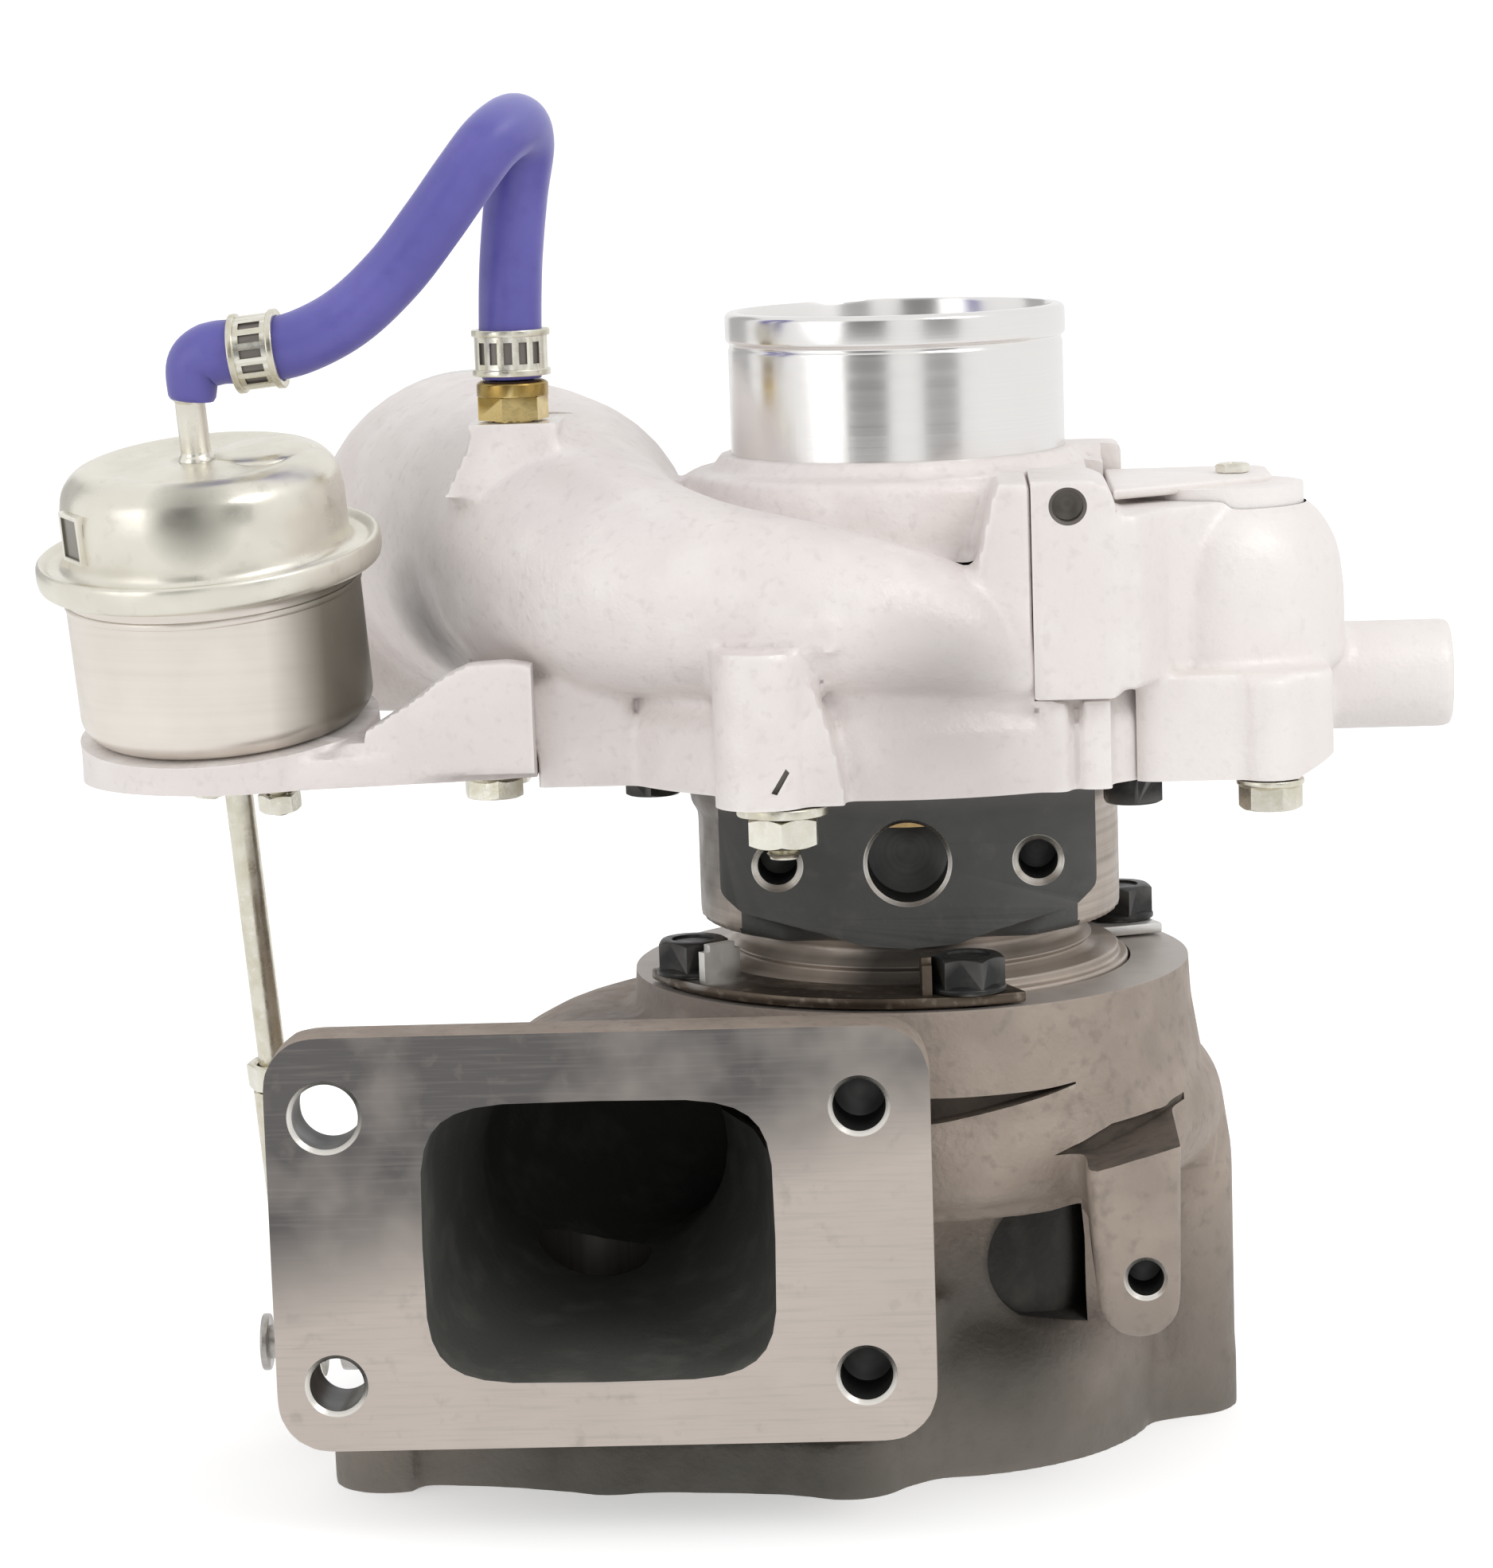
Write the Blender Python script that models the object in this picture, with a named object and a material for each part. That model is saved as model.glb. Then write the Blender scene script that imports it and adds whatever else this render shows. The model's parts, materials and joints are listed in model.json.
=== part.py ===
"""Turbocharger with an internal wastegate, a boost actuator and a bypass valve.

Lengths in this script are millimetres, measured from the shaft axis (X right, Y away, Z up, Z = 0 on the
turbine outlet flange). The parent empty carries the shaft axis to its place in the world.
"""

from math import atan2, cos, pi, radians, sin

import bmesh
import bpy
from mathutils import Matrix, Vector

MM = 0.001
GAP = 0.3
WELD = 0.004

# Sides of the turned shapes
COARSE = 20

# Place of the shaft axis in the world: the middle of the whole object's outline is the origin.
SHAFT_X = 22.76
SHAFT_Y = 0.06

# Turbine housing
INLET_FACE_Y = -60.0
INLET_BACK_Y = -50.2
INLET_LEFT = -91.5
INLET_RIGHT = 2.5
INLET_LOW = 14.3
INLET_HIGH = 74.6
INLET_CENTRE = (-44.8, 44.2)
INLET_HOLES_CENTRE = (-45.2, 43.5)
INLET_HOLE_X = 37.7
INLET_HOLE_Z = 19.5
INLET_HOLE_R = 4.4
INLET_STUD_HOLE_R = 4.9
PORT_HALF_WIDTH = 25.0
PORT_HALF_HEIGHT = 20.4
FOOT_THICK = 9.0
FOOT_LOBES = [(-79.5, -25.5), (-46, -28.5), (-11, -33), (40, 6), (24, 40), (-24, 44), (-77, 30)]
FOOT_LOBE_R = 8.8
RING_TOP = 73.5
RING_R = 42.0
SEAT_R = 33.3
SEAT_Z = 68.3
SHROUD_R = 27.2
BOLT_CIRCLE_R = 37.2
CLAMP_SPAN = 73
TURBINE_BOLT_ANGLES = (30, 30 + CLAMP_SPAN, 210, 210 + CLAMP_SPAN)

# Wastegate
FLAP_CENTRE = (-50.0, 1.0)
FLAP_R = 11.5
FLAP_TOP = 17.2
PORT_R = 8.8
CHAMBER_TOP = 17.5
SPINDLE_Y = 20.0
SPINDLE_Z = 13.0

# Bearing housing and rotor
HOUSING_R = 31.5
HOUSING_TOP = 103.2
OIL_FACE_Y = -28.0
OIL_Z = 91.8
OIL_STUD_X = 19.05
DRAIN_FACE_Y = 33.0
DRAIN_Z = 90.6
DRAIN_R = 5.8
SHAFT_R = 4.0
STUB_SHAFT_R = 2.9

# Compressor cover
COVER_LOW = 104.3
COVER_R = 48.0
BAND_TOP = 113.5
POCKET_LOW = 117.3
BACKPLATE_R = 43.5
BACKPLATE_LOW = 103.5
BACKPLATE_TOP = 108.6
SHOULDER_Z = 148.0
RIM_Z = 171.3
RIM_R = 25.4
OUTLET_X = -68.8
OUTLET_Z = 134.9
OUTLET_END_Y = 57.0
COVER_BOLT_CIRCLE_R = 38.5
COVER_BOLT_ANGLES = (-30, 60, 120, 180)
STUD_X = -17.3
STUD_Y = -47.5
EAR_X = -53.6
EAR_LOW = 110.8
EAR_TOP = 119.6

# Actuator: the rod runs along its axis, from the can's bottom centre down to the lever pin
CAN_BASE = Vector((-99.8, -16.0, 108.4))
CAN_AXIS = Vector((-0.05, -0.15, 0.987)).normalized()
CAN_R = 21.7
CAN_UPPER_R = 20.9
CRIMP_R = 24.8
ROD_R = 2.1
PIN_Z = 14.6
CAN_LOW = 5.5
BRACKET_LOW = 106.0
BRACKET_TOP = 110.4
BRACKET_BOLT_X = -60.8
# Each stud under the can: its place across the axis, and how far down its nut reaches
CAN_STUDS = ((5.6, -9.0, -6.0), (-5.6, 9.0, -8.2))

# Bypass valve
BYPASS_X = 47.5
BYPASS_Y = -15.0
BYPASS_R = 17.5
BYPASS_TOP = 144.0
NOZZLE_Z = 115.3
NOZZLE_R = 8.0
NOZZLE_END_X = 81.0
BYPASS_BOLT = (52.5, -34.0)

# Signal hose: the centre line that it follows, from the brass fitting to the actuator's nipple
HOSE_R = 4.65
HOSE_ROUTE = [
    (-56.5, -12, 162.9), (-56.5, -12, 170), (-56, -12, 180), (-54.8, -12.4, 190), (-53.4, -14.6, 197.2),
    (-54.0, -19.0, 200.1), (-57.2, -22.6, 198.0), (-61.2, -24.4, 193.0), (-66, -25.4, 186.6),
    (-71.6, -26.0, 179.8), (-78.4, -26.2, 173.8), (-85.6, -26, 170.2), (-92, -25.6, 169.0),
    (-98.0, -25, 168.9), (-101.6, -24.9, 167.6), (-102.5, -24.5, 164.8),
]


def remove_everything():
    for item in list(bpy.data.objects):
        bpy.data.objects.remove(item)


# ---------------------------------------------------------------- shapes


def new_object(bm):
    """Turns a bmesh into an object, still in millimetres, with its faces pointing out."""
    bmesh.ops.remove_doubles(bm, verts=bm.verts, dist=1e-4)
    bmesh.ops.recalc_face_normals(bm, faces=bm.faces)
    mesh = bpy.data.meshes.new("shape")
    bm.to_mesh(mesh)
    bm.free()
    item = bpy.data.objects.new("shape", mesh)
    bpy.context.collection.objects.link(item)
    return item


def loft(rings):
    """A skin over rings that have equally many points, with both ends capped."""
    bm = bmesh.new()
    rows = [[bm.verts.new(point) for point in ring] for ring in rings]
    count = len(rings[0])
    for low, high in zip(rows, rows[1:]):
        for i in range(count):
            j = (i + 1) % count
            bm.faces.new((low[i], low[j], high[j], high[i]))
    bm.faces.new(rows[0])
    bm.faces.new(rows[-1])
    return new_object(bm)


def turned(profile, sides, centre=(0, 0)):
    """Turns a closed profile of (radius, z) points about the vertical through the centre."""
    bm = bmesh.new()
    rows = []
    for radius, z in profile:
        if radius == 0:
            rows.append([bm.verts.new((centre[0], centre[1], z))])
            continue
        turns = [2 * pi * i / sides for i in range(sides)]
        rows.append([
            bm.verts.new((centre[0] + radius * cos(a), centre[1] + radius * sin(a), z)) for a in turns
        ])
    for low, high in zip(rows, rows[1:] + rows[:1]):
        if len(low) == 1 and len(high) == 1:
            continue
        for i in range(sides):
            j = (i + 1) % sides
            corners = [low[i % len(low)], low[j % len(low)], high[j % len(high)], high[i % len(high)]]
            bm.faces.new(list(dict.fromkeys(corners)))
    return new_object(bm)


def disc(radius, low, high, sides=24, centre=(0, 0)):
    return turned([(0, low), (radius, low), (radius, high), (0, high)], sides, centre)


def tube(inner, outer, low, high, sides=24, centre=(0, 0)):
    return turned([(inner, low), (outer, low), (outer, high), (inner, high)], sides, centre)


def prism(outline, low, high, along="Z"):
    """Extrudes an outline: (x, y) along Z, (x, z) along Y or (y, z) along X."""
    place = {
        "Z": lambda a, b, c: (a, b, c),
        "Y": lambda a, b, c: (a, c, b),
        "X": lambda a, b, c: (c, a, b),
    }[along]
    return loft([[place(a, b, level) for a, b in outline] for level in (low, high)])


def box(x, y, z):
    return prism([(x[0], y[0]), (x[1], y[0]), (x[1], y[1]), (x[0], y[1])], z[0], z[1])


def round_outline(x, y, radius, steps=4):
    """A rectangle's outline with round corners."""
    corners = [(x[1], y[1], 0), (x[0], y[1], 90), (x[0], y[0], 180), (x[1], y[0], 270)]
    points = []
    for cx, cy, start in corners:
        mid_x = cx - radius if cx == x[1] else cx + radius
        mid_y = cy - radius if cy == y[1] else cy + radius
        for i in range(steps + 1):
            a = radians(start + 90 * i / steps)
            points.append((mid_x + radius * cos(a), mid_y + radius * sin(a)))
    return points


def circle_outline(centre, radius, sides, start=0.0):
    turns = [start + 2 * pi * i / sides for i in range(sides)]
    return [(centre[0] + radius * cos(a), centre[1] + radius * sin(a)) for a in turns]


def arc_outline(centre, radius, start, end, steps):
    turns = [radians(start + (end - start) * i / steps) for i in range(steps + 1)]
    return [(centre[0] + radius * cos(a), centre[1] + radius * sin(a)) for a in turns]


def weld(mesh):
    """Closes the hair-thin slivers that a cut can leave."""
    bm = bmesh.new()
    bm.from_mesh(mesh)
    bmesh.ops.remove_doubles(bm, verts=bm.verts, dist=WELD)
    bmesh.ops.dissolve_degenerate(bm, edges=bm.edges, dist=WELD)
    bm.to_mesh(mesh)
    bm.free()


def combine(body, tools, operation):
    """Joins the tools to a body, or cuts them out of it, and removes the tools."""
    for tool in tools:
        modifier = body.modifiers.new("work", "BOOLEAN")
        modifier.operation = operation
        modifier.solver = "EXACT"
        modifier.object = tool
        bpy.context.view_layer.update()
        result = body.evaluated_get(bpy.context.evaluated_depsgraph_get())
        body.modifiers.clear()
        body.data = bpy.data.meshes.new_from_object(result)
        weld(body.data)
        bpy.data.objects.remove(tool)
    return body


def join(body, *tools):
    return combine(body, tools, "UNION")


def cut(body, *tools):
    return combine(body, tools, "DIFFERENCE")


def moved(item, matrix):
    item.data.transform(matrix)
    return item


def lying(item, at, axis):
    """Turns an upright shape so that its +Z runs along the axis, and puts its own origin at a point."""
    turn = Vector((0, 0, 1)).rotation_difference(Vector(axis)).to_matrix().to_4x4()
    return moved(item, Matrix.Translation(Vector(at)) @ turn)


def rod_hole(radius, start, axis, length, sides=14):
    return lying(disc(radius, 0, length, sides), start, axis)


def hex_bolt(across, head, shank_r, shank, sides=12):
    """A hexagon bolt: its head hangs below Z = 0 and its shank stands above it."""
    bolt = prism(circle_outline((0, 0), across / 2 / cos(pi / 6), 6), -head, 0)
    return join(bolt, disc(shank_r, -0.5, shank, sides))


def hex_nut(across, low, high, bore, sides=12):
    nut = prism(circle_outline((0, 0), across / 2 / cos(pi / 6), 6), low, high)
    return cut(nut, disc(bore, low - 1, high + 1, sides))


# ---------------------------------------------------------------- finishing


def material(name, colour, roughness, metallic):
    found = bpy.data.materials.get(name)
    if found:
        return found
    made = bpy.data.materials.new(name)
    made.use_nodes = True
    shader = made.node_tree.nodes["Principled BSDF"]
    shader.inputs["Base Color"].default_value = (*colour, 1)
    shader.inputs["Roughness"].default_value = roughness
    shader.inputs["Metallic"].default_value = metallic
    made.diffuse_color = (*colour, 1)
    return made


FINISHES = {
    "turbine_iron": ((0.36, 0.32, 0.28), 0.65, 0.7),
    "bearing_iron": ((0.09, 0.09, 0.09), 0.55, 0.7),
    "cast_aluminium": ((0.80, 0.77, 0.75), 0.5, 0.8),
    "zinc": ((0.66, 0.64, 0.56), 0.35, 0.9),
    "black_steel": ((0.05, 0.05, 0.05), 0.5, 0.8),
    "steel": ((0.55, 0.55, 0.54), 0.35, 1.0),
    "wheel_aluminium": ((0.75, 0.75, 0.76), 0.35, 1.0),
    "bronze": ((0.65, 0.45, 0.2), 0.4, 1.0),
    "brass": ((0.72, 0.52, 0.2), 0.3, 1.0),
    "hose_rubber": ((0.14, 0.13, 0.42), 0.5, 0.0),
    "rubber": ((0.03, 0.03, 0.03), 0.7, 0.0),
    "valve_plastic": ((0.12, 0.12, 0.12), 0.5, 0.0),
}


def finish(name, shape, slot, shaft, pivot=(0, 0, 0)):
    """Names a sub-part, gives it its material, and puts its origin on its joint's axis."""
    shape.name = name
    shape.data.name = name
    shape.data.materials.clear()
    shape.data.materials.append(material(slot, *FINISHES[slot]))
    shape.data.transform(Matrix.Scale(MM, 4) @ Matrix.Translation(-Vector(pivot)))
    shape.location = Vector(pivot) * MM
    shape.data.shade_smooth()
    shape.data.set_sharp_from_angle(angle=radians(35))
    shape.parent = shaft
    return shape


# ---------------------------------------------------------------- turbine housing


def oval_ring(centre, across, up, half_width, half_height, power, sides):
    """A ring between an ellipse (power 2) and a rounded rectangle (a higher power)."""
    points = []
    for i in range(sides):
        a = 2 * pi * i / sides
        c, s = cos(a), sin(a)
        x = half_width * (abs(c) ** (2 / power)) * (1 if c >= 0 else -1)
        y = half_height * (abs(s) ** (2 / power)) * (1 if s >= 0 else -1)
        points.append(Vector(centre) + Vector(across) * x + Vector(up) * y)
    return points


# Turbine scroll: angle about the shaft, radius to the channel's middle, its height and its own radius
TURBINE_SCROLL = [
    (-118, 37.5, 49.6, 3.2), (-85, 37.4, 50.2, 4.2), (-45, 36.0, 51.5, 5.6), (0, 36.0, 50.4, 7.5),
    (35, 38.8, 49.0, 10.4), (70, 41.4, 47.6, 12.8), (105, 43.3, 46.5, 14.8), (142, 45.4, 45.3, 16.6),
    (180, 47.5, 44.2, 18.5),
]


def scroll_rings(stations, wall, sides):
    """Round sections of a scroll about the shaft, each grown by the wall's thickness."""
    rings = []
    for angle, radius, z, size in stations:
        a = radians(angle)
        outward = Vector((cos(a), sin(a), 0))
        middle = outward * radius + Vector((0, 0, z))
        rings.append(oval_ring(middle, outward, (0, 0, 1), size + wall, size + wall, 2, sides))
    return rings


def turbine_channel(wall, sides=10):
    """The gas channel as two overlapping lofts: the scroll's tail, and its mouth with the inlet duct."""
    rings = scroll_rings(TURBINE_SCROLL, wall, sides)
    x, z = INLET_CENTRE
    ends = [(-20, 22.0, 19.5, 2.6), (-42, 24.6, 20.2, 4.2), (INLET_FACE_Y - 1 + 2 * wall, 25.0, 20.4, 5.0)]
    duct = rings[6:]
    for y, half_width, half_height, power in ends:
        size = (half_width + wall, half_height + wall)
        duct.append(oval_ring((x, y, z), (-1, 0, 0), (0, 0, 1), *size, power, sides))
    return [loft(rings[:8]), loft(duct)]


def foot_outline():
    """The outlet flange: round lobes about its bolt holes, joined by slightly waisted sides."""
    lobes = [Vector(lobe) for lobe in FOOT_LOBES]
    middle = sum(lobes, Vector((0, 0))) / len(lobes)
    points = []
    for i, lobe in enumerate(lobes):
        after = lobes[(i + 1) % len(lobes)]
        sides = [lobe - lobes[i - 1], after - lobe]
        start, end = [atan2(-side.x, side.y) for side in sides]
        bend = (end - start + pi) % (2 * pi) - pi
        spread = bend / 2 + radians(30)
        for k in range(5):
            a = start + bend / 2 + spread * (k / 2 - 1)
            points.append(lobe + FOOT_LOBE_R * Vector((cos(a), sin(a))))
        side = (lobe + after) / 2
        points.append(side + (side - middle).normalized() * (FOOT_LOBE_R - 2.2))
    return [tuple(point) for point in points]


def turbine_housing():
    body = turned([
        (0, 40), (38, 40), (39.5, 50), (43.6, 57.5), (43.2, 62), (RING_R + 0.4, 66.5), (RING_R, RING_TOP),
        (0, RING_TOP),
    ], COARSE)
    barrel = turned([
        (0, 1), (36.5, 1), (36.5, 15.5), (34.5, 19), (30.5, 21), (30, 46), (0, 46),
    ], 24, centre=(0, 4))
    foot = prism(foot_outline(), 0, FOOT_THICK)
    chamber = prism(round_outline((-76, 5.5), (-31, 33), 7), 1, 27)
    column = disc(8.6, 1, 52, 16, centre=(39.7, 6.2))
    bridge = box((20, 40), (-1.5, 13), (1.2, 50))
    lug_front = arc_outline((32.2, 32.4), 7.0, 180, 360, 8) + [(39.2, 55.5), (25.2, 53)]
    lug = prism(lug_front, -50.0, -20.0, "Y")
    flange = prism(
        round_outline((INLET_LEFT, INLET_RIGHT), (INLET_LOW, INLET_HIGH), 6.5), INLET_FACE_Y, INLET_BACK_Y, "Y"
    )
    join(body, *turbine_channel(3.9), barrel, foot, chamber, column, bridge, lug, flange)

    wheel_space = turned([
        (0, -1), (22.5, -1), (22.5, 27), (21.6, 33), (21.7, 40), (23.4, 45), (SHROUD_R, 49.5),
        (36, 49.6), (36, 56.2), (SHROUD_R, 56.3), (SHROUD_R, 62.5), (29.8, 62.5), (29.8, SEAT_Z),
        (SEAT_R, SEAT_Z), (SEAT_R, 80), (0, 80),
    ], COARSE)
    chamber_space = prism(round_outline((-69, -12), (-16, 27), 5), -1, CHAMBER_TOP)
    cut(body, wheel_space, *turbine_channel(0), chamber_space)
    cut(body, disc(PORT_R, 10, 34, 20, FLAP_CENTRE))
    x, z = INLET_HOLES_CENTRE
    for side_x, side_z in ((-1, -1), (-1, 1), (1, -1), (1, 1)):
        radius = INLET_STUD_HOLE_R if (side_x, side_z) == (-1, 1) else INLET_HOLE_R
        at = (x + side_x * INLET_HOLE_X, INLET_FACE_Y - 1, z + side_z * INLET_HOLE_Z)
        cut(body, rod_hole(radius, at, (0, 1, 0), 12))
    for x, y in FOOT_LOBES:
        cut(body, disc(3.6, -1, FOOT_THICK + (1 if x < 30 else 4), 12, (x, y)))
    for angle in TURBINE_BOLT_ANGLES:
        a = radians(angle)
        cut(body, disc(3.3, 62, 80, 12, (BOLT_CIRCLE_R * cos(a), BOLT_CIRCLE_R * sin(a))))
    cut(body, rod_hole(2.7, (32.4, -51, 34.4), (0, 1, 0), 9, 12))
    cut(body, rod_hole(5.8, (-90, SPINDLE_Y, SPINDLE_Z), (1, 0, 0), 25, 16))
    return body


# ---------------------------------------------------------------- rotor


def bladed(hub, count, sections, thick):
    """Unites a hub with blades; each section is (z, inner radius, outer radius, twist in degrees)."""
    for k in range(count):
        rings = []
        for z, inner, outer, twist in sections:
            a = 2 * pi * k / count + radians(twist)
            along = Vector((cos(a), sin(a), 0))
            aside = Vector((-sin(a), cos(a), 0)) * thick / 2
            up = Vector((0, 0, z))
            rings.append([
                along * inner - aside + up, along * outer - aside + up,
                along * outer + aside + up, along * inner + aside + up,
            ])
        join(hub, loft(rings))
    return hub


def turbine_wheel_shaft():
    hub = turned([
        (0, 33), (4.5, 33), (6.5, 36), (8, 44), (12, 51), (20, 55.4), (24.5, 56.5), (24.5, 57.5), (9.2, 57.6),
        (8.2, 58.6), (8.2, 59.9), (6.9, 59.9), (6.9, 61.6), (8.2, 61.6), (8.2, 63), (SHAFT_R, 63.6),
        (SHAFT_R, 104), (STUB_SHAFT_R, 104.4), (STUB_SHAFT_R, 141), (0, 141),
    ], 14)
    blades = [(56.2, 15, 26.5, 0), (50.2, 9, 26.5, 2), (42.5, 6, 21.6, 16), (34.4, 4, 21.0, 42)]
    return bladed(hub, 11, blades, 1.2)


def compressor_wheel():
    hub = turned([
        (3.2, 109), (27, 109), (27, 109.9), (18, 112.2), (11.5, 118), (8.4, 126), (7, 133.5), (3.2, 134),
    ], 16)
    blades = [(109.5, 12, 26.4, 34), (112.8, 10, 26.6, 30), (119, 7, 21.2, 16), (132.6, 5, 19.6, -16)]
    return bladed(hub, 10, blades, 1.0)


def thrust_collar():
    return turned([
        (4.3, 96.4), (5.1, 96.4), (5.1, 99.6), (8.5, 99.6), (8.5, 101), (7.6, 101), (7.6, 104.4), (6.3, 104.4),
        (6.3, 106.2), (7.6, 106.2), (7.6, 108.6), (4.3, 108.6),
    ], 14)


# ---------------------------------------------------------------- bearing housing


def bearing_housing():
    body = turned([
        (0, 59.4), (24.8, 59.4), (24.8, 64.1), (29.4, 64.1), (29.4, 68.6), (33, 68.6), (33, 73.2), (27.6, 73.2),
        (26.6, 74.4), (27.4, 75.2), (25.6, 77), (25.6, 82.6), (HOUSING_R, 83.6), (HOUSING_R, 96.6),
        (33, 97.4), (33, HOUSING_TOP), (0, HOUSING_TOP),
    ], COARSE)
    pad = [(27.5, 99.5), (-27.5, 99.5), (-27.5, 88), (-24.5, 85), (-12, 81.4), (-7, 79.6), (0, 79), (7, 79.6),
           (12, 81.4), (24.5, 85), (27.5, 88)]
    drain = round_outline((-20, 20), (DRAIN_Z - 7.6, DRAIN_Z + 7.6), 5)
    cut(body, box((-40, 40), (-60, OIL_FACE_Y), (78, HOUSING_TOP + 1)))
    join(body, prism(pad, OIL_FACE_Y, -6, "Y"), prism(drain, 10, DRAIN_FACE_Y, "Y"))
    cut(
        body,
        turned([
            (0, 58), (9, 58), (9, 67.5), (6.9, 68), (6.9, 96), (24, 96), (24, 104.5), (0, 104.5),
        ], COARSE),
        rod_hole(5.9, (0, OIL_FACE_Y - 1, OIL_Z), (0, 1, 0), 3.2),
        rod_hole(4.4, (0, OIL_FACE_Y - 1, OIL_Z), (0, 1, 0), 18),
        rod_hole(DRAIN_R, (0, DRAIN_FACE_Y + 1, DRAIN_Z), (0, -1, 0), 27),
        rod_hole(4.6, (0, DRAIN_FACE_Y + 1, DRAIN_Z), (0, -1, 0), 33),
    )
    for x in (-OIL_STUD_X, OIL_STUD_X):
        cut(body, rod_hole(3.5, (x, OIL_FACE_Y - 1, OIL_Z), (0, 1, 0), 13, 10))
    for x in (-14.5, 14.5):
        cut(body, rod_hole(2.8, (x, DRAIN_FACE_Y + 1, DRAIN_Z), (0, -1, 0), 11, 10))
    return body


def heat_shield():
    return turned([
        (9.8, 58.1), (26.2, 58.1), (26.2, 62.8), (29.5, 62.8), (29.5, 63.8), (25.2, 63.8), (25.2, 59.1), (9.8, 59.1),
    ], COARSE)


def clamp_plate(start):
    """A curved strap over two turbine bolts, with a tab bent up beside each bolt's head."""
    end = start + CLAMP_SPAN
    outer = arc_outline((0, 0), 41.2, start - 11, end + 11, 10)
    inner = arc_outline((0, 0), 29.6, end + 11, start - 11, 10)
    plate = prism(outer + inner, 73.8, 75.6)
    for angle in (start + 9.5, end - 9.5):
        tab = box((33.5, 39.5), (-0.7, 0.7), (75.4, 80.6))
        join(plate, moved(tab, Matrix.Rotation(radians(angle), 4, "Z")))
    for angle in (start, end):
        a = radians(angle)
        cut(plate, disc(3.4, 70, 80, 12, (BOLT_CIRCLE_R * cos(a), BOLT_CIRCLE_R * sin(a))))
    return plate


def backplate():
    body = turned([
        (8.1, BACKPLATE_LOW), (BACKPLATE_R, BACKPLATE_LOW), (BACKPLATE_R, 105), (BACKPLATE_R - 1.6, 105),
        (BACKPLATE_R - 1.6, 107), (BACKPLATE_R, 107), (BACKPLATE_R, BACKPLATE_TOP), (8.1, BACKPLATE_TOP),
    ], COARSE)
    for angle in COVER_BOLT_ANGLES:
        a = radians(angle)
        at = (COVER_BOLT_CIRCLE_R * cos(a), COVER_BOLT_CIRCLE_R * sin(a))
        cut(body, disc(2.9, 100, 112, 12, at))
    return body


# ---------------------------------------------------------------- compressor cover

# Compressor scroll: angle about the shaft, radius to the channel's middle, its height and its own radius
COMPRESSOR_SCROLL = [
    (-64, 41.2, 120.5, 3.4), (-72, 41.3, 124.2, 5.2), (-80, 41.4, 127.4, 6.8), (-105, 42.3, 131.0, 8.6),
    (-130, 44.2, 132.4, 10.8), (-155, 47.6, 134.2, 14.0), (-180, 52.0, 135.8, 18.0),
]


def compressor_channel(wall, end_y, sides=12):
    """The air channel as two overlapping lofts: the scroll's tail, and its mouth with the outlet tube."""
    rings = scroll_rings(COMPRESSOR_SCROLL, wall, sides)
    mouth = rings[2:]
    way = ((12, -55.2, 135.7, 20.6), (24, -60.2, 135.4, 21.6), (36, -65.6, 135.1, 22.0), (46, OUTLET_X, OUTLET_Z, 22.0))
    for y, x, z, size in (*way, (end_y, OUTLET_X, OUTLET_Z, 22.0)):
        mouth.append(oval_ring((x, y, z), (-1, 0, 0), (0, 0, 1), size + wall, size + wall, 2, sides))
    return [loft(rings[:4]), loft(mouth)]


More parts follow.
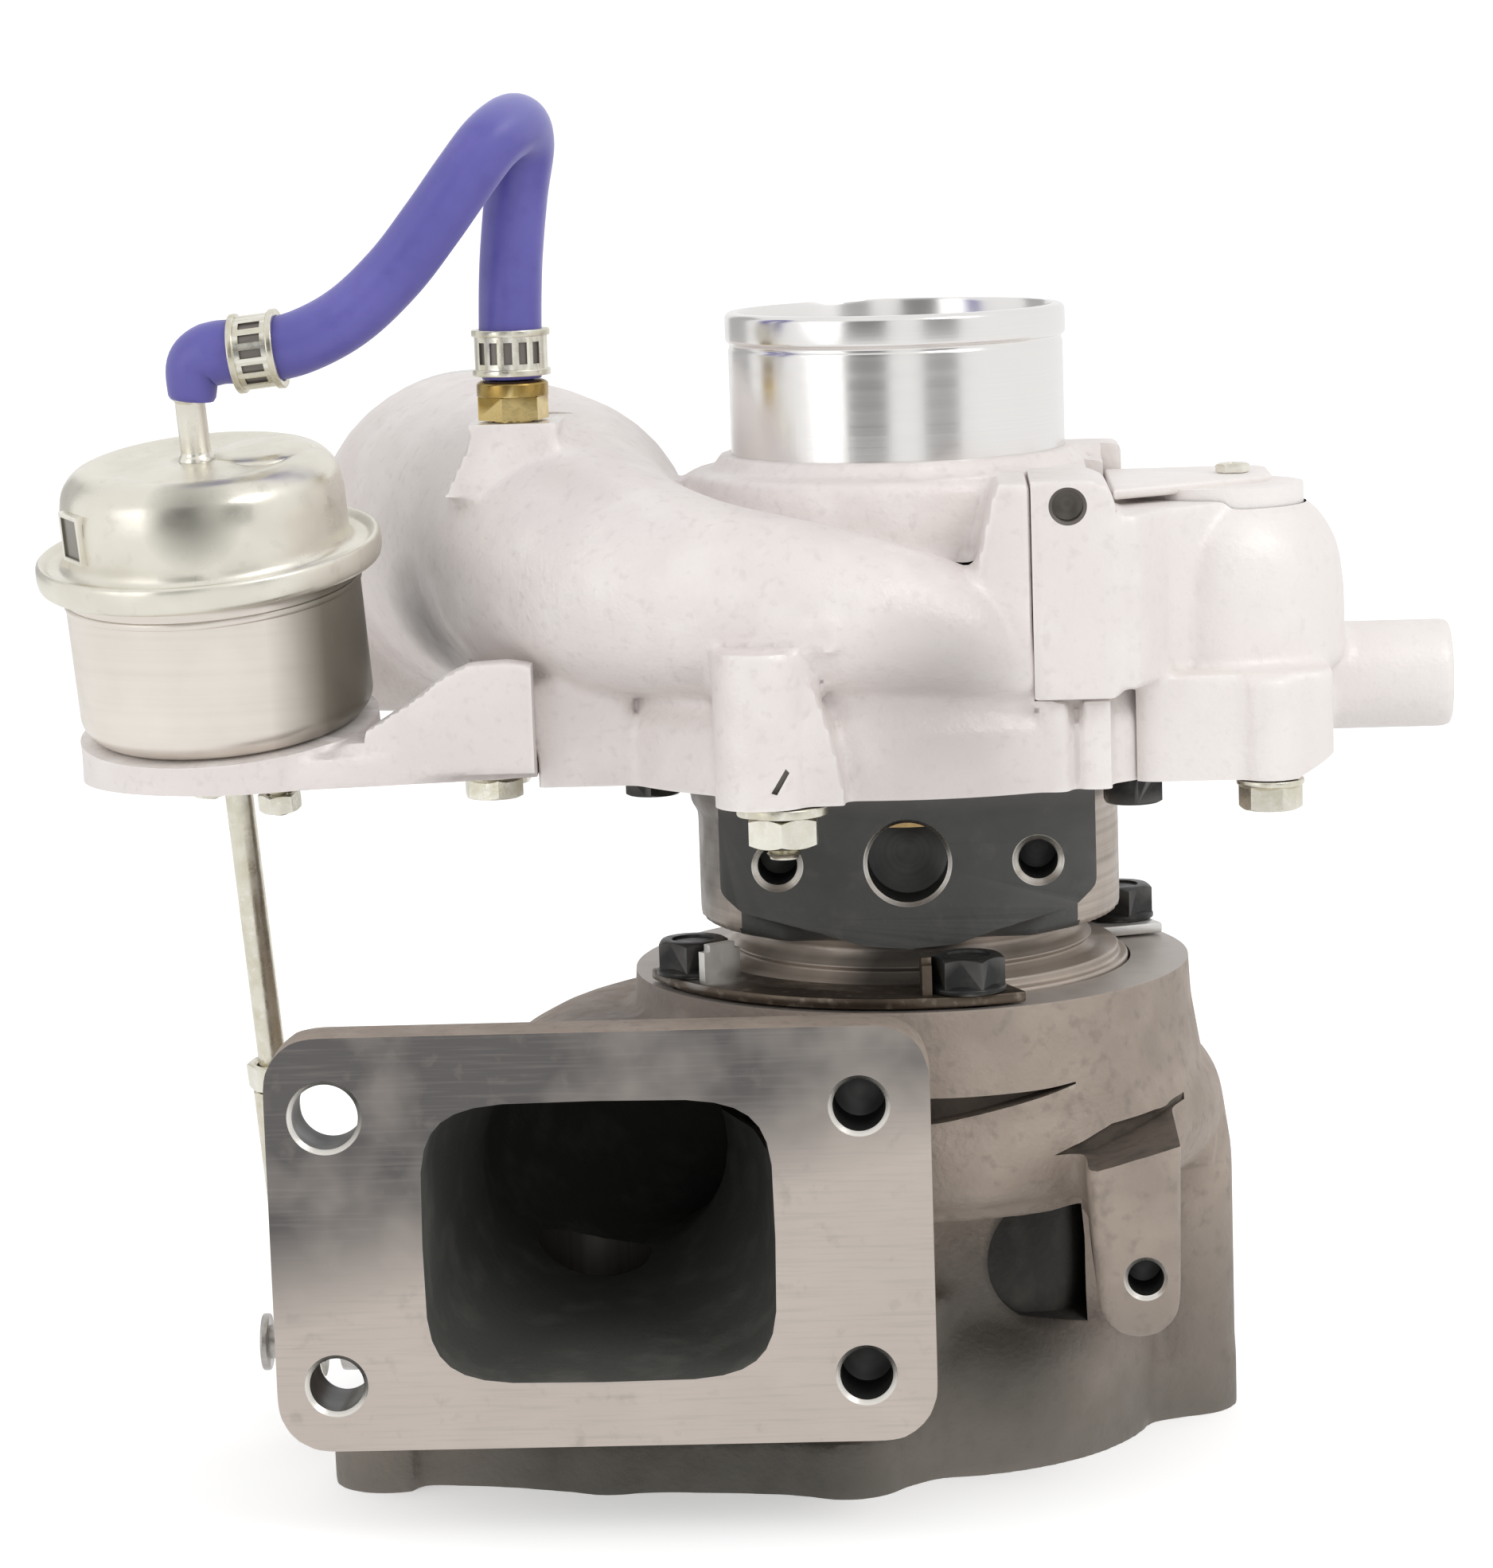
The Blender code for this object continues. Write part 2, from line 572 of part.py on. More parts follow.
def compressor_cover():
    body = turned([
        (0, COVER_LOW), (COVER_R, COVER_LOW), (COVER_R, BAND_TOP), (46.6, 115), (45.4, 121), (42, 126.5),
        (36.5, 131), (33.5, 138), (32, SHOULDER_Z - 1), (31, SHOULDER_Z), (0, SHOULDER_Z),
    ], COARSE)
    stub = turned([
        (0, 146), (26.6, 146), (26.6, 149.6), (25.0, 150.2), (25.0, 165.6), (24.5, 166.2), (24.5, 167.2),
        (RIM_R, 167.8), (RIM_R, RIM_Z - 0.5), (RIM_R - 0.5, RIM_Z), (0, RIM_Z),
    ], COARSE)
    bead = turned([
        (0, 0), (25.0, 0), (RIM_R, 0.5), (RIM_R, 3.4), (24.6, 4.2), (0, 4.2),
    ], COARSE)
    lying(bead, (OUTLET_X, OUTLET_END_Y, OUTLET_Z), (0, -1, 0))
    outlet = lying(disc(24.6, 0, 10, COARSE), (OUTLET_X, OUTLET_END_Y - 1, OUTLET_Z), (0, -1, 0))
    boss = prism(
        arc_outline((STUD_X - 0.8, STUD_Y), 7.4, 180, 360, 8) + [(STUD_X + 6.6, -34), (STUD_X - 8.2, -34)],
        COVER_LOW + 0.1, 126.2,
    )
    web = prism([(-12, COVER_LOW + 0.2), (-6.6, COVER_LOW + 0.2), (-6.6, 112), (-12, 121)], -52, -40, "Y")
    face = prism([(10.5, 119.5), (18.7, 118), (18.7, 148.5), (12.5, 148.5), (10.5, 143)], -46, -14, "Y")
    ribs = [box((22.2 + 5.2 * k, 24.8 + 5.2 * k), (-43 + 4 * k, -24), (COVER_LOW + 0.3, 116.5)) for k in (0, 1)]
    block = box((24.5, 33.5), (2, 14), (140, SHOULDER_Z + 0.4))
    fitting_pad = box((-63.6, -50), (-18.4, -5.6), (146, 156.4))
    ear = box((-65.8, -40), (-28, 2), (EAR_LOW, EAR_TOP))
    ear_low = box((EAR_X, -40), (-27.8, 1.8), (COVER_LOW + 0.2, 112))
    join(body, *compressor_channel(3.4, OUTLET_END_Y - 2), outlet, bead, stub, boss, web, face, *ribs, block)
    join(body, fitting_pad, ear, ear_low)

    wheel_space = turned([
        (0, 100), (BACKPLATE_R + GAP, 100), (BACKPLATE_R + GAP, 108.9), (36, 109), (36, 115.8), (32.2, 115.8),
        (32.2, 113.6), (28, 113.5), (22.4, 118.8), (20.6, 126), (20.3, 133), (20.3, 146), (23.2, 156), (23.2, 173),
        (0, 173),
    ], COARSE)
    cut(body, wheel_space, *compressor_channel(0, OUTLET_END_Y + 2))
    cut(
        body,
        box((18.7 + GAP, 30.6), (-60, -23.6), (POCKET_LOW, 150)),
        box((27.6, 56), (-46, -5.6), (POCKET_LOW, 150)),
        box((30.4, 60), (-31.4, 3.4), (143.9, 150)),
        disc(BYPASS_R + 0.4, POCKET_LOW, 150, 20, (BYPASS_X, BYPASS_Y)),
    )
    for angle in COVER_BOLT_ANGLES:
        a = radians(angle)
        at = (COVER_BOLT_CIRCLE_R * cos(a), COVER_BOLT_CIRCLE_R * sin(a))
        cut(body, disc(2.9, 106, 116.5, 12, at))
    cut(
        body,
        disc(2.9, 100, 118, 12, (STUD_X, STUD_Y)),
        disc(3.3, 140, 160, 12, (-56.5, -12)),
        disc(2.9, 100, 118, 12, (BRACKET_BOLT_X, -20)),
        disc(2.9, 100, 118, 12, (BRACKET_BOLT_X, -6)),
        rod_hole(6.0, (20, -36, 131), (-1, 0, 0), 12),
    )
    return body


# ---------------------------------------------------------------- bypass valve


def bypass_housing():
    flange = prism([(19, 117.6), (30.2, 117.6), (30.2, 146), (28, 148.6), (19, 148.6)], -46, -24, "Y")
    drum = turned([
        (0, 118), (BYPASS_R, 118), (BYPASS_R, 136), (BYPASS_R - 1.8, 141), (BYPASS_R - 4, BYPASS_TOP), (0, BYPASS_TOP),
    ], 20, centre=(BYPASS_X, BYPASS_Y))
    neck = prism([(28, -45), (33.5, -45), (38.5, -34), (55, -21), (55, -6), (28, -6)], 119, BYPASS_TOP)
    low = prism(round_outline((32.6, 61.8), (-36.5, -5.7), 4, 3), 103.4, 119)
    pillar = disc(4.0, 104.8, 122.5, 12, centre=BYPASS_BOLT)
    nozzle = lying(disc(NOZZLE_R, 0, 26, 16), (NOZZLE_END_X, -9, NOZZLE_Z), (-1, 0, 0))
    join(flange, drum, neck, low, pillar, nozzle)
    cut(
        flange,
        disc(COVER_R + 0.4, 100, POCKET_LOW + 0.15, 36),
        disc(12.2, 121, 160, 16, (BYPASS_X, BYPASS_Y)),
        disc(4.6, 109.5, 130, 12, (BYPASS_X + 4.8, BYPASS_Y)),
        rod_hole(6.1, (10, -36, 131), (1, 0, 0), 18),
        prism([(24, -40.5), (29.5, -40.5), (42, -21.5), (37, -17.5), (24, -31)], 126.5, 136),
        rod_hole(6.0, (NOZZLE_END_X + 1, -9, NOZZLE_Z), (-1, 0, 0), 30.5, 16),
        disc(2.6, 100, 118, 10, BYPASS_BOLT),
        rod_hole(2.9, (24, -47, 144.2), (0, 1, 0), 7, 12),
        disc(1.8, 134, 150, 12, (53.5, -1.5)),
    )
    return flange


def bypass_lid():
    """A flat lid with a round spigot that centres it and seats the spring."""
    outline = [(30.8, -31), (38, -31), (55.5, -18.5), (58, -13), (58, 0), (55, 3), (30.8, 3)]
    lid = prism(outline, BYPASS_TOP + GAP, 146.6)
    join(lid, disc(11.8, 142, BYPASS_TOP + 1, 24, (BYPASS_X, BYPASS_Y)))
    return cut(lid, disc(1.8, 138, 150, 12, (53.5, -1.5)))


def bypass_piston():
    return turned([
        (0, 121.4), (9.6, 121.4), (11.8, 124), (11.8, 131), (10.4, 131), (10.4, 125), (0, 125),
    ], 24, (BYPASS_X, BYPASS_Y))


def coil(radius, wire, low, high, turns, steps, centre=(0, 0), sides=6):
    """A coil spring's wire along a helix, as one closed tube."""
    rings = []
    total = int(turns * steps)
    for i in range(total + 1):
        a = 2 * pi * i / steps
        rise = low + wire + (high - low - 2 * wire) * i / total
        outward = Vector((cos(a), sin(a), 0))
        middle = outward * radius + Vector((centre[0], centre[1], rise))
        rings.append(oval_ring(middle, outward, (0, 0, 1), wire, wire, 2, sides))
    return loft(rings)


# ---------------------------------------------------------------- actuator (built upright, then laid on its axis)


def on_can(shape):
    return lying(shape, CAN_BASE, CAN_AXIS)


def can_lower():
    body = turned([
        (0, CAN_LOW), (CAN_R - 2.2, CAN_LOW), (CAN_R, CAN_LOW + 2.6), (CAN_R, 28.2), (23.4, 29.4), (23.4, 30.4),
        (CAN_R - 0.9, 30.4), (CAN_R - 0.9, CAN_LOW + 3.2), (CAN_R - 2.8, CAN_LOW + 1), (0, CAN_LOW + 1),
    ], 20)
    for x, y, low in CAN_STUDS:
        join(body, disc(1.6, low - 0.6, CAN_LOW + 0.6, 12, (x, y)))
    return on_can(cut(body, disc(4.3, CAN_LOW - 1, CAN_LOW + 2, 16)))


def can_upper():
    body = turned([
        (0, 46.6), (9, 46.6), (12, 46.0), (17, 46.2), (20, 43.4), (CAN_UPPER_R, 40), (CAN_UPPER_R, 33.2),
        (CRIMP_R, 32.6), (CRIMP_R + 0.4, 31.0), (CRIMP_R + 0.4, 29.0), (CRIMP_R, 28.4), (23.8, 28.4),
        (23.8, 31.6), (CAN_UPPER_R - 0.9, 32.2), (CAN_UPPER_R - 0.9, 40), (19.2, 42.8), (17.4, 45.0), (0, 45.6),
    ], 20)
    join(body, disc(2.6, 45.9, 55.5, 12))
    return on_can(cut(body, disc(1.6, 40, 60, 10)))


def diaphragm():
    return on_can(turned([
        (0, 30.0), (15.5, 30.0), (17.2, 27.2), (18.8, 27.2), (20.2, 30.8), (23.4, 30.8), (23.4, 31.3),
        (19.9, 31.3), (18.6, 28.1), (17.5, 28.1), (15.8, 30.8), (0, 30.8),
    ], 18))


def piston_cup():
    return on_can(turned([
        (0, 28.4), (13.6, 28.4), (13.6, 18), (14.5, 18), (14.5, 29.6), (0, 29.6),
    ], 24))


def rod_guide():
    return on_can(turned([
        (2.5, 6.8), (7, 6.8), (7, 8.5), (4.8, 8.5), (4.8, 11), (2.5, 11),
    ], 16))


PIN_DROP = (CAN_BASE.z - PIN_Z) / CAN_AXIS.z
PIN_POINT = CAN_BASE - CAN_AXIS * PIN_DROP


def actuator_rod():
    return on_can(disc(ROD_R, -PIN_DROP + 20, 28.1, 12))


def rod_lock_nut():
    return on_can(hex_nut(7, -PIN_DROP + 42.5, -PIN_DROP + 46.5, ROD_R + GAP))


def rod_end():
    """A rod end with an eye for the lever pin, screwed over the rod's lower end."""
    sleeve = turned([
        (0, 4), (3.4, 4), (3.4, 42.2), (ROD_R + GAP, 42.2), (ROD_R + GAP, 19.6), (0, 19.6),
    ], 14)
    eye = prism(round_outline((-5.6, 5.6), (-5.6, 5.6), 5.5, 3), -2.5, 2.5, "X")
    join(sleeve, eye)
    return lying(cut(sleeve, rod_hole(3.4, (-5, 0, 0), (1, 0, 0), 10, 16)), PIN_POINT, CAN_AXIS)


def actuator_bracket():
    base = (CAN_BASE.x + 0.2, CAN_BASE.y)
    arm = prism(
        arc_outline(base, 22.4, 60, 300, 14) + [(-75, -33), (-53.9, -27.9), (-53.9, 1.8), (-75, 8)],
        BRACKET_LOW, BRACKET_TOP,
    )
    seat = lying(disc(22.0, -2, CAN_LOW - GAP, COARSE), CAN_BASE, CAN_AXIS)
    trimmed = cut(seat, box((-140, -60), (-60, 30), (80, BRACKET_LOW + 0.1)))
    outline = [(-79, 108), (-54.1, 108), (-54.1, 122.3), (-60.4, 122.4), (-65.3, 119.3), (-77, 112.8)]
    gusset = prism(outline, -32.5, -28.4, "Y")
    foot = box((-58, -54), (-32.6, -28.5), (BRACKET_LOW + 0.2, 121))
    join(arm, trimmed, gusset, foot)
    cut(arm, on_can(disc(25, CAN_LOW - GAP, 26, COARSE)))
    cut(arm, on_can(disc(4.0, -8, 8, 16)))
    for x, y, low in CAN_STUDS:
        cut(arm, on_can(disc(2.1, -10, 8, 12, (x, y))))
    for y in (-20, -6):
        cut(arm, disc(2.9, 100, 112, 12, (BRACKET_BOLT_X, y)))
    return arm


# ---------------------------------------------------------------- wastegate


def wastegate_flap():
    flap = turned([
        (0, 13.4), (3, 13.4), (5, 14.2), (FLAP_R - 1, 14.2), (FLAP_R, 15), (FLAP_R, FLAP_TOP), (0, FLAP_TOP),
    ], 20, FLAP_CENTRE)
    return join(flap, disc(2.0, 7.0, 14, 12, FLAP_CENTRE))


def wastegate_spindle():
    shaft = rod_hole(3.1, (-86.2, SPINDLE_Y, SPINDLE_Z), (1, 0, 0), 41, 14)
    x, y = FLAP_CENTRE
    arm = prism(
        arc_outline((x, y), 5.2, 180, 360, 8) + [(x + 4.5, SPINDLE_Y + 3), (x - 4.5, SPINDLE_Y + 3)], 9.4, 13.1
    )
    join(shaft, arm)
    return cut(shaft, disc(2.3, 5, 16, 12, FLAP_CENTRE))


def wastegate_lever():
    end = Vector((PIN_POINT.y, PIN_POINT.z))
    hub = Vector((SPINDLE_Y, SPINDLE_Z))
    along = (end - hub).normalized()
    turn = atan2(along.y, along.x)
    outline = []
    for centre, radius, start in ((hub, 6.0, turn + pi / 2), (end, 4.6, turn - pi / 2)):
        for k in range(7):
            a = start + pi * k / 6
            outline.append((centre.x + radius * cos(a), centre.y + radius * sin(a)))
    lever = prism(outline, -89.6, -86.6, "X")
    return lever


def lever_pin():
    pin = rod_hole(2.6, (-101.4, PIN_POINT.y, PIN_POINT.z), (1, 0, 0), 11.4, 14)
    return join(pin, rod_hole(4.4, (-101.9, PIN_POINT.y, PIN_POINT.z), (1, 0, 0), 1.2, 14))


# ---------------------------------------------------------------- hose and its fittings


def smooth_route(points, spacing):
    """Points along a smooth curve through the route's own points."""
    knots = [Vector(point) for point in points]
    knots = [knots[0] * 2 - knots[1]] + knots + [knots[-1] * 2 - knots[-2]]
    fine = []
    for a, b, c, d in zip(knots, knots[1:], knots[2:], knots[3:]):
        for i in range(12):
            t = i / 12
            fine.append(0.5 * (2 * b + (c - a) * t + (2 * a - 5 * b + 4 * c - d) * t * t
                               + (3 * b - a - 3 * c + d) * t ** 3))
    fine.append(knots[-2])
    kept = [fine[0]]
    run = 0.0
    for before, point in zip(fine, fine[1:]):
        run += (point - before).length
        if run >= spacing:
            kept.append(point)
            run = 0.0
    if (fine[-1] - kept[-1]).length < spacing / 2:
        kept.pop()
    kept.append(fine[-1])
    return kept


def hose(shaft):
    """The hose as a curve with a round bevel and filled caps."""
    route = smooth_route(HOSE_ROUTE, 4.6)
    curve = bpy.data.curves.new("hose", "CURVE")
    curve.dimensions = "3D"
    curve.bevel_depth = HOSE_R * MM
    curve.bevel_resolution = 3
    curve.use_fill_caps = True
    curve.materials.append(material("hose_rubber", *FINISHES["hose_rubber"]))
    spline = curve.splines.new("POLY")
    spline.points.add(len(route) - 1)
    for target, point in zip(spline.points, route):
        target.co = (*(point * MM), 1)
    item = bpy.data.objects.new("hose", curve)
    bpy.context.collection.objects.link(item)
    item.parent = shaft


def hose_clamp(at, axis, ear):
    band = tube(HOSE_R + 0.5, HOSE_R + 1.3, -3.4, 3.4, 20)
    ears = box((HOSE_R + 0.8, HOSE_R + 3.2), (-2.2, 2.2), (-2.4, 2.4))
    join(band, moved(ears, Matrix.Rotation(radians(ear), 4, "Z")))
    return lying(band, at, axis)


def brass_fitting():
    body = prism(circle_outline((0, 0), 6.2, 6), 156.7, 161.0)
    join(body, disc(2.9, 148, 157, 12), disc(4.0, 160.8, 162.5, 16))
    cut(body, disc(1.5, 140, 170, 10))
    return moved(body, Matrix.Translation((-56.5, -12, 0)))


# ---------------------------------------------------------------- assembly


def build():
    remove_everything()
    shaft = bpy.data.objects.new("shaft_axis", None)
    bpy.context.collection.objects.link(shaft)
    shaft.location = (SHAFT_X * MM, SHAFT_Y * MM, 0)

    def put(name, shape, slot, pivot=(0, 0, 0)):
        return finish(name, shape, slot, shaft, pivot)

    put("turbine_housing", turbine_housing(), "turbine_iron")
    put("heat_shield", heat_shield(), "steel")
    put("turbine_wheel_shaft", turbine_wheel_shaft(), "steel")
    put("compressor_wheel", compressor_wheel(), "wheel_aluminium")
    put("shaft_nut", hex_nut(9.5, 134.3, 139, 3.2), "steel")
    put("thrust_collar", thrust_collar(), "steel")
    put("turbine_seal_ring", tube(7.2, 8.7, 60.2, 61.3, 16), "steel")
    put("compressor_seal_ring", tube(6.6, 7.85, 104.7, 105.9, 16), "steel")
    put("turbine_journal_bearing", tube(4.3, 6.55, 69.5, 75.5, 14), "bronze")
    put("compressor_journal_bearing", tube(4.3, 6.55, 89, 95, 14), "bronze")
    put("bearing_spacer", tube(4.6, 6.4, 75.9, 88.6, 14), "steel")
    put("thrust_bearing", tube(5.5, 23.2, 96.3, 99.2, COARSE), "bronze")
    put("oil_deflector", tube(8.9, 23.2, 99.6, 100.8, COARSE), "steel")
    put("bearing_housing", bearing_housing(), "bearing_iron")
    put("backplate", backplate(), "cast_aluminium")
    put("backplate_seal", tube(BACKPLATE_R - 1.3, BACKPLATE_R, 105.3, 106.7, COARSE), "rubber")
    for k, angle in enumerate(TURBINE_BOLT_ANGLES, 1):
        a = radians(angle)
        bolt = lying(hex_bolt(10, 5.2, 2.9, 12), (0, 0, 0), (0, 0, -1))
        at = Matrix.Translation((BOLT_CIRCLE_R * cos(a), BOLT_CIRCLE_R * sin(a), 75.9))
        put(f"turbine_bolt_{k}", moved(bolt, at), "black_steel")
    put("clamp_plate_right", clamp_plate(TURBINE_BOLT_ANGLES[0]), "zinc")
    put("clamp_plate_left", clamp_plate(TURBINE_BOLT_ANGLES[2]), "zinc")
    put("compressor_cover", compressor_cover(), "cast_aluminium")
    for k, angle in enumerate(COVER_BOLT_ANGLES, 1):
        a = radians(angle)
        at = Matrix.Translation((COVER_BOLT_CIRCLE_R * cos(a), COVER_BOLT_CIRCLE_R * sin(a), BACKPLATE_LOW - GAP))
        put(f"cover_bolt_{k}", moved(hex_bolt(8, 4.6, 2.5, 11), at), "black_steel")
    put("cover_stud", disc(2.5, 96.4, 116.5, 12, (STUD_X, STUD_Y)), "zinc")
    put("cover_stud_washer", tube(2.9, 6.6, 102.6, 104.0, 20, (STUD_X, STUD_Y)), "zinc")
    nut = moved(hex_nut(10, 98.0, 102.3, 2.9), Matrix.Translation((STUD_X, STUD_Y, 0)))
    put("cover_stud_nut", nut, "zinc")
    put("actuator_bracket", actuator_bracket(), "cast_aluminium")
    for k, y in enumerate((-20, -6), 1):
        bolt = moved(hex_bolt(8, 3.8, 2.5, 11), Matrix.Translation((BRACKET_BOLT_X, y, BRACKET_LOW - GAP)))
        put(f"bracket_bolt_{k}", bolt, "zinc")
    put("actuator_lower_can", can_lower(), "zinc")
    put("actuator_upper_can", can_upper(), "zinc")
    for k, (x, y, low) in enumerate(CAN_STUDS, 1):
        nut = moved(hex_nut(5.5, low, low + 2.8, 1.9), Matrix.Translation((x, y, 0)))
        put(f"actuator_nut_{k}", on_can(nut), "zinc")
    put("actuator_diaphragm", diaphragm(), "rubber")
    put("actuator_piston_cup", piston_cup(), "steel", CAN_BASE)
    put("actuator_spring", on_can(coil(11.6, 0.9, 9.1, 27.9, 4, 10, sides=4)), "steel")
    put("rod_guide", rod_guide(), "valve_plastic")
    put("actuator_rod", actuator_rod(), "zinc", CAN_BASE)
    put("rod_lock_nut", rod_lock_nut(), "zinc", CAN_BASE)
    put("rod_end", rod_end(), "zinc", PIN_POINT)
    pivot = (-86.2, SPINDLE_Y, SPINDLE_Z)
    put("wastegate_flap", wastegate_flap(), "steel", pivot)
    put("wastegate_spindle", wastegate_spindle(), "steel", pivot)
    put("wastegate_lever", wastegate_lever(), "steel", pivot)
    put("lever_pin", lever_pin(), "steel", pivot)
    bush = rod_hole(5.5, (-78.4, SPINDLE_Y, SPINDLE_Z), (1, 0, 0), 11.4, 18)
    cut(bush, rod_hole(3.4, (-90, SPINDLE_Y, SPINDLE_Z), (1, 0, 0), 40, 18))
    put("wastegate_bush", bush, "steel")
    put("bypass_housing", bypass_housing(), "cast_aluminium")
    put("bypass_lid", bypass_lid(), "cast_aluminium")
    put("bypass_piston", bypass_piston(), "valve_plastic", (BYPASS_X, BYPASS_Y, 121.4))
    put("bypass_spring", coil(8.6, 0.7, 125.3, 141.7, 3, 10, (BYPASS_X, BYPASS_Y), 4), "steel")
    bolt = moved(hex_bolt(8, 4.4, 2.2, 12), Matrix.Translation((*BYPASS_BOLT, 103.1)))
    put("bypass_bolt", bolt, "zinc")
    hose(shaft)
    put("hose_clamp_fitting", hose_clamp((-56.5, -12, 167.2), (0, 0, 1), -60), "zinc")
    top = Vector(HOSE_ROUTE[-4])
    along = Vector(HOSE_ROUTE[-5]) - Vector(HOSE_ROUTE[-3])
    put("hose_clamp_actuator", hose_clamp(top, along, 200), "zinc")
    put("brass_fitting", brass_fitting(), "brass")
    screw = lying(hex_bolt(5, 2.2, 1.5, 8), (53.5, -1.5, 146.9), (0, 0, -1))
    put("bypass_lid_screw", screw, "zinc")


build()
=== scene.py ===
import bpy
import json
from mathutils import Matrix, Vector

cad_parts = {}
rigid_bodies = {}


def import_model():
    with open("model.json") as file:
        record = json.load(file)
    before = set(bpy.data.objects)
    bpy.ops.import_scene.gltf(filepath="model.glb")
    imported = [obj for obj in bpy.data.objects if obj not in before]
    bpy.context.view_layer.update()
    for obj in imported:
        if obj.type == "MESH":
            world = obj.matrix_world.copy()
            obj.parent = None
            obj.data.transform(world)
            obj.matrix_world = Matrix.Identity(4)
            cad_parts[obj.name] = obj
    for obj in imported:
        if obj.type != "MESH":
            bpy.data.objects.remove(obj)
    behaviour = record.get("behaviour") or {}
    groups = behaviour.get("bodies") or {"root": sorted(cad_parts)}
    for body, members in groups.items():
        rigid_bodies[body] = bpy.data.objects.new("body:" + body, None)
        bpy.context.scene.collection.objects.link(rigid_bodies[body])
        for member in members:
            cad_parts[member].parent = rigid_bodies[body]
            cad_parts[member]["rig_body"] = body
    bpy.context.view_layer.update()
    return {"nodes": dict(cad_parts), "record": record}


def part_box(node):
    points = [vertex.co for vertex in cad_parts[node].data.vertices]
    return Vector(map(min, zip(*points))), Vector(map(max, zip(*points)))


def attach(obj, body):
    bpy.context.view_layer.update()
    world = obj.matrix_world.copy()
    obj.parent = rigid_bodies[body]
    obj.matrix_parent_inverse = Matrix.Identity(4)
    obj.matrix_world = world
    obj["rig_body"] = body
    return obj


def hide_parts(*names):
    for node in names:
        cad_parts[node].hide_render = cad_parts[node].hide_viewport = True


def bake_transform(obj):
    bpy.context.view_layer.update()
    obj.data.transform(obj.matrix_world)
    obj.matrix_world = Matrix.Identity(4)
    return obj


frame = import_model()

import json
from math import atan2, cos, degrees, hypot, pi, radians, sin

import bmesh
import bpy
from mathutils import Matrix, Vector

# Shapes are made in millimetres from the shaft axis (X right, Y away, Z up) and carried into the row frame.
MM = 0.001
low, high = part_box("turbine_journal_bearing")
SHAFT = Vector(((low.x + high.x) / 2, (low.y + high.y) / 2, 0))
TO_ROW = Matrix.Translation(SHAFT) @ Matrix.Scale(MM, 4)
SLOTS = {entry["node"]: entry["material_slot"] for entry in frame["record"]["subparts"]}


# ---- materials


def dial(node, settings):
    for socket, value in settings.items():
        node.inputs[socket].default_value = value


def plain_look(name, settings):
    look = bpy.data.materials.new(name)
    look.use_nodes = True
    dial(look.node_tree.nodes["Principled BSDF"], settings)
    return look


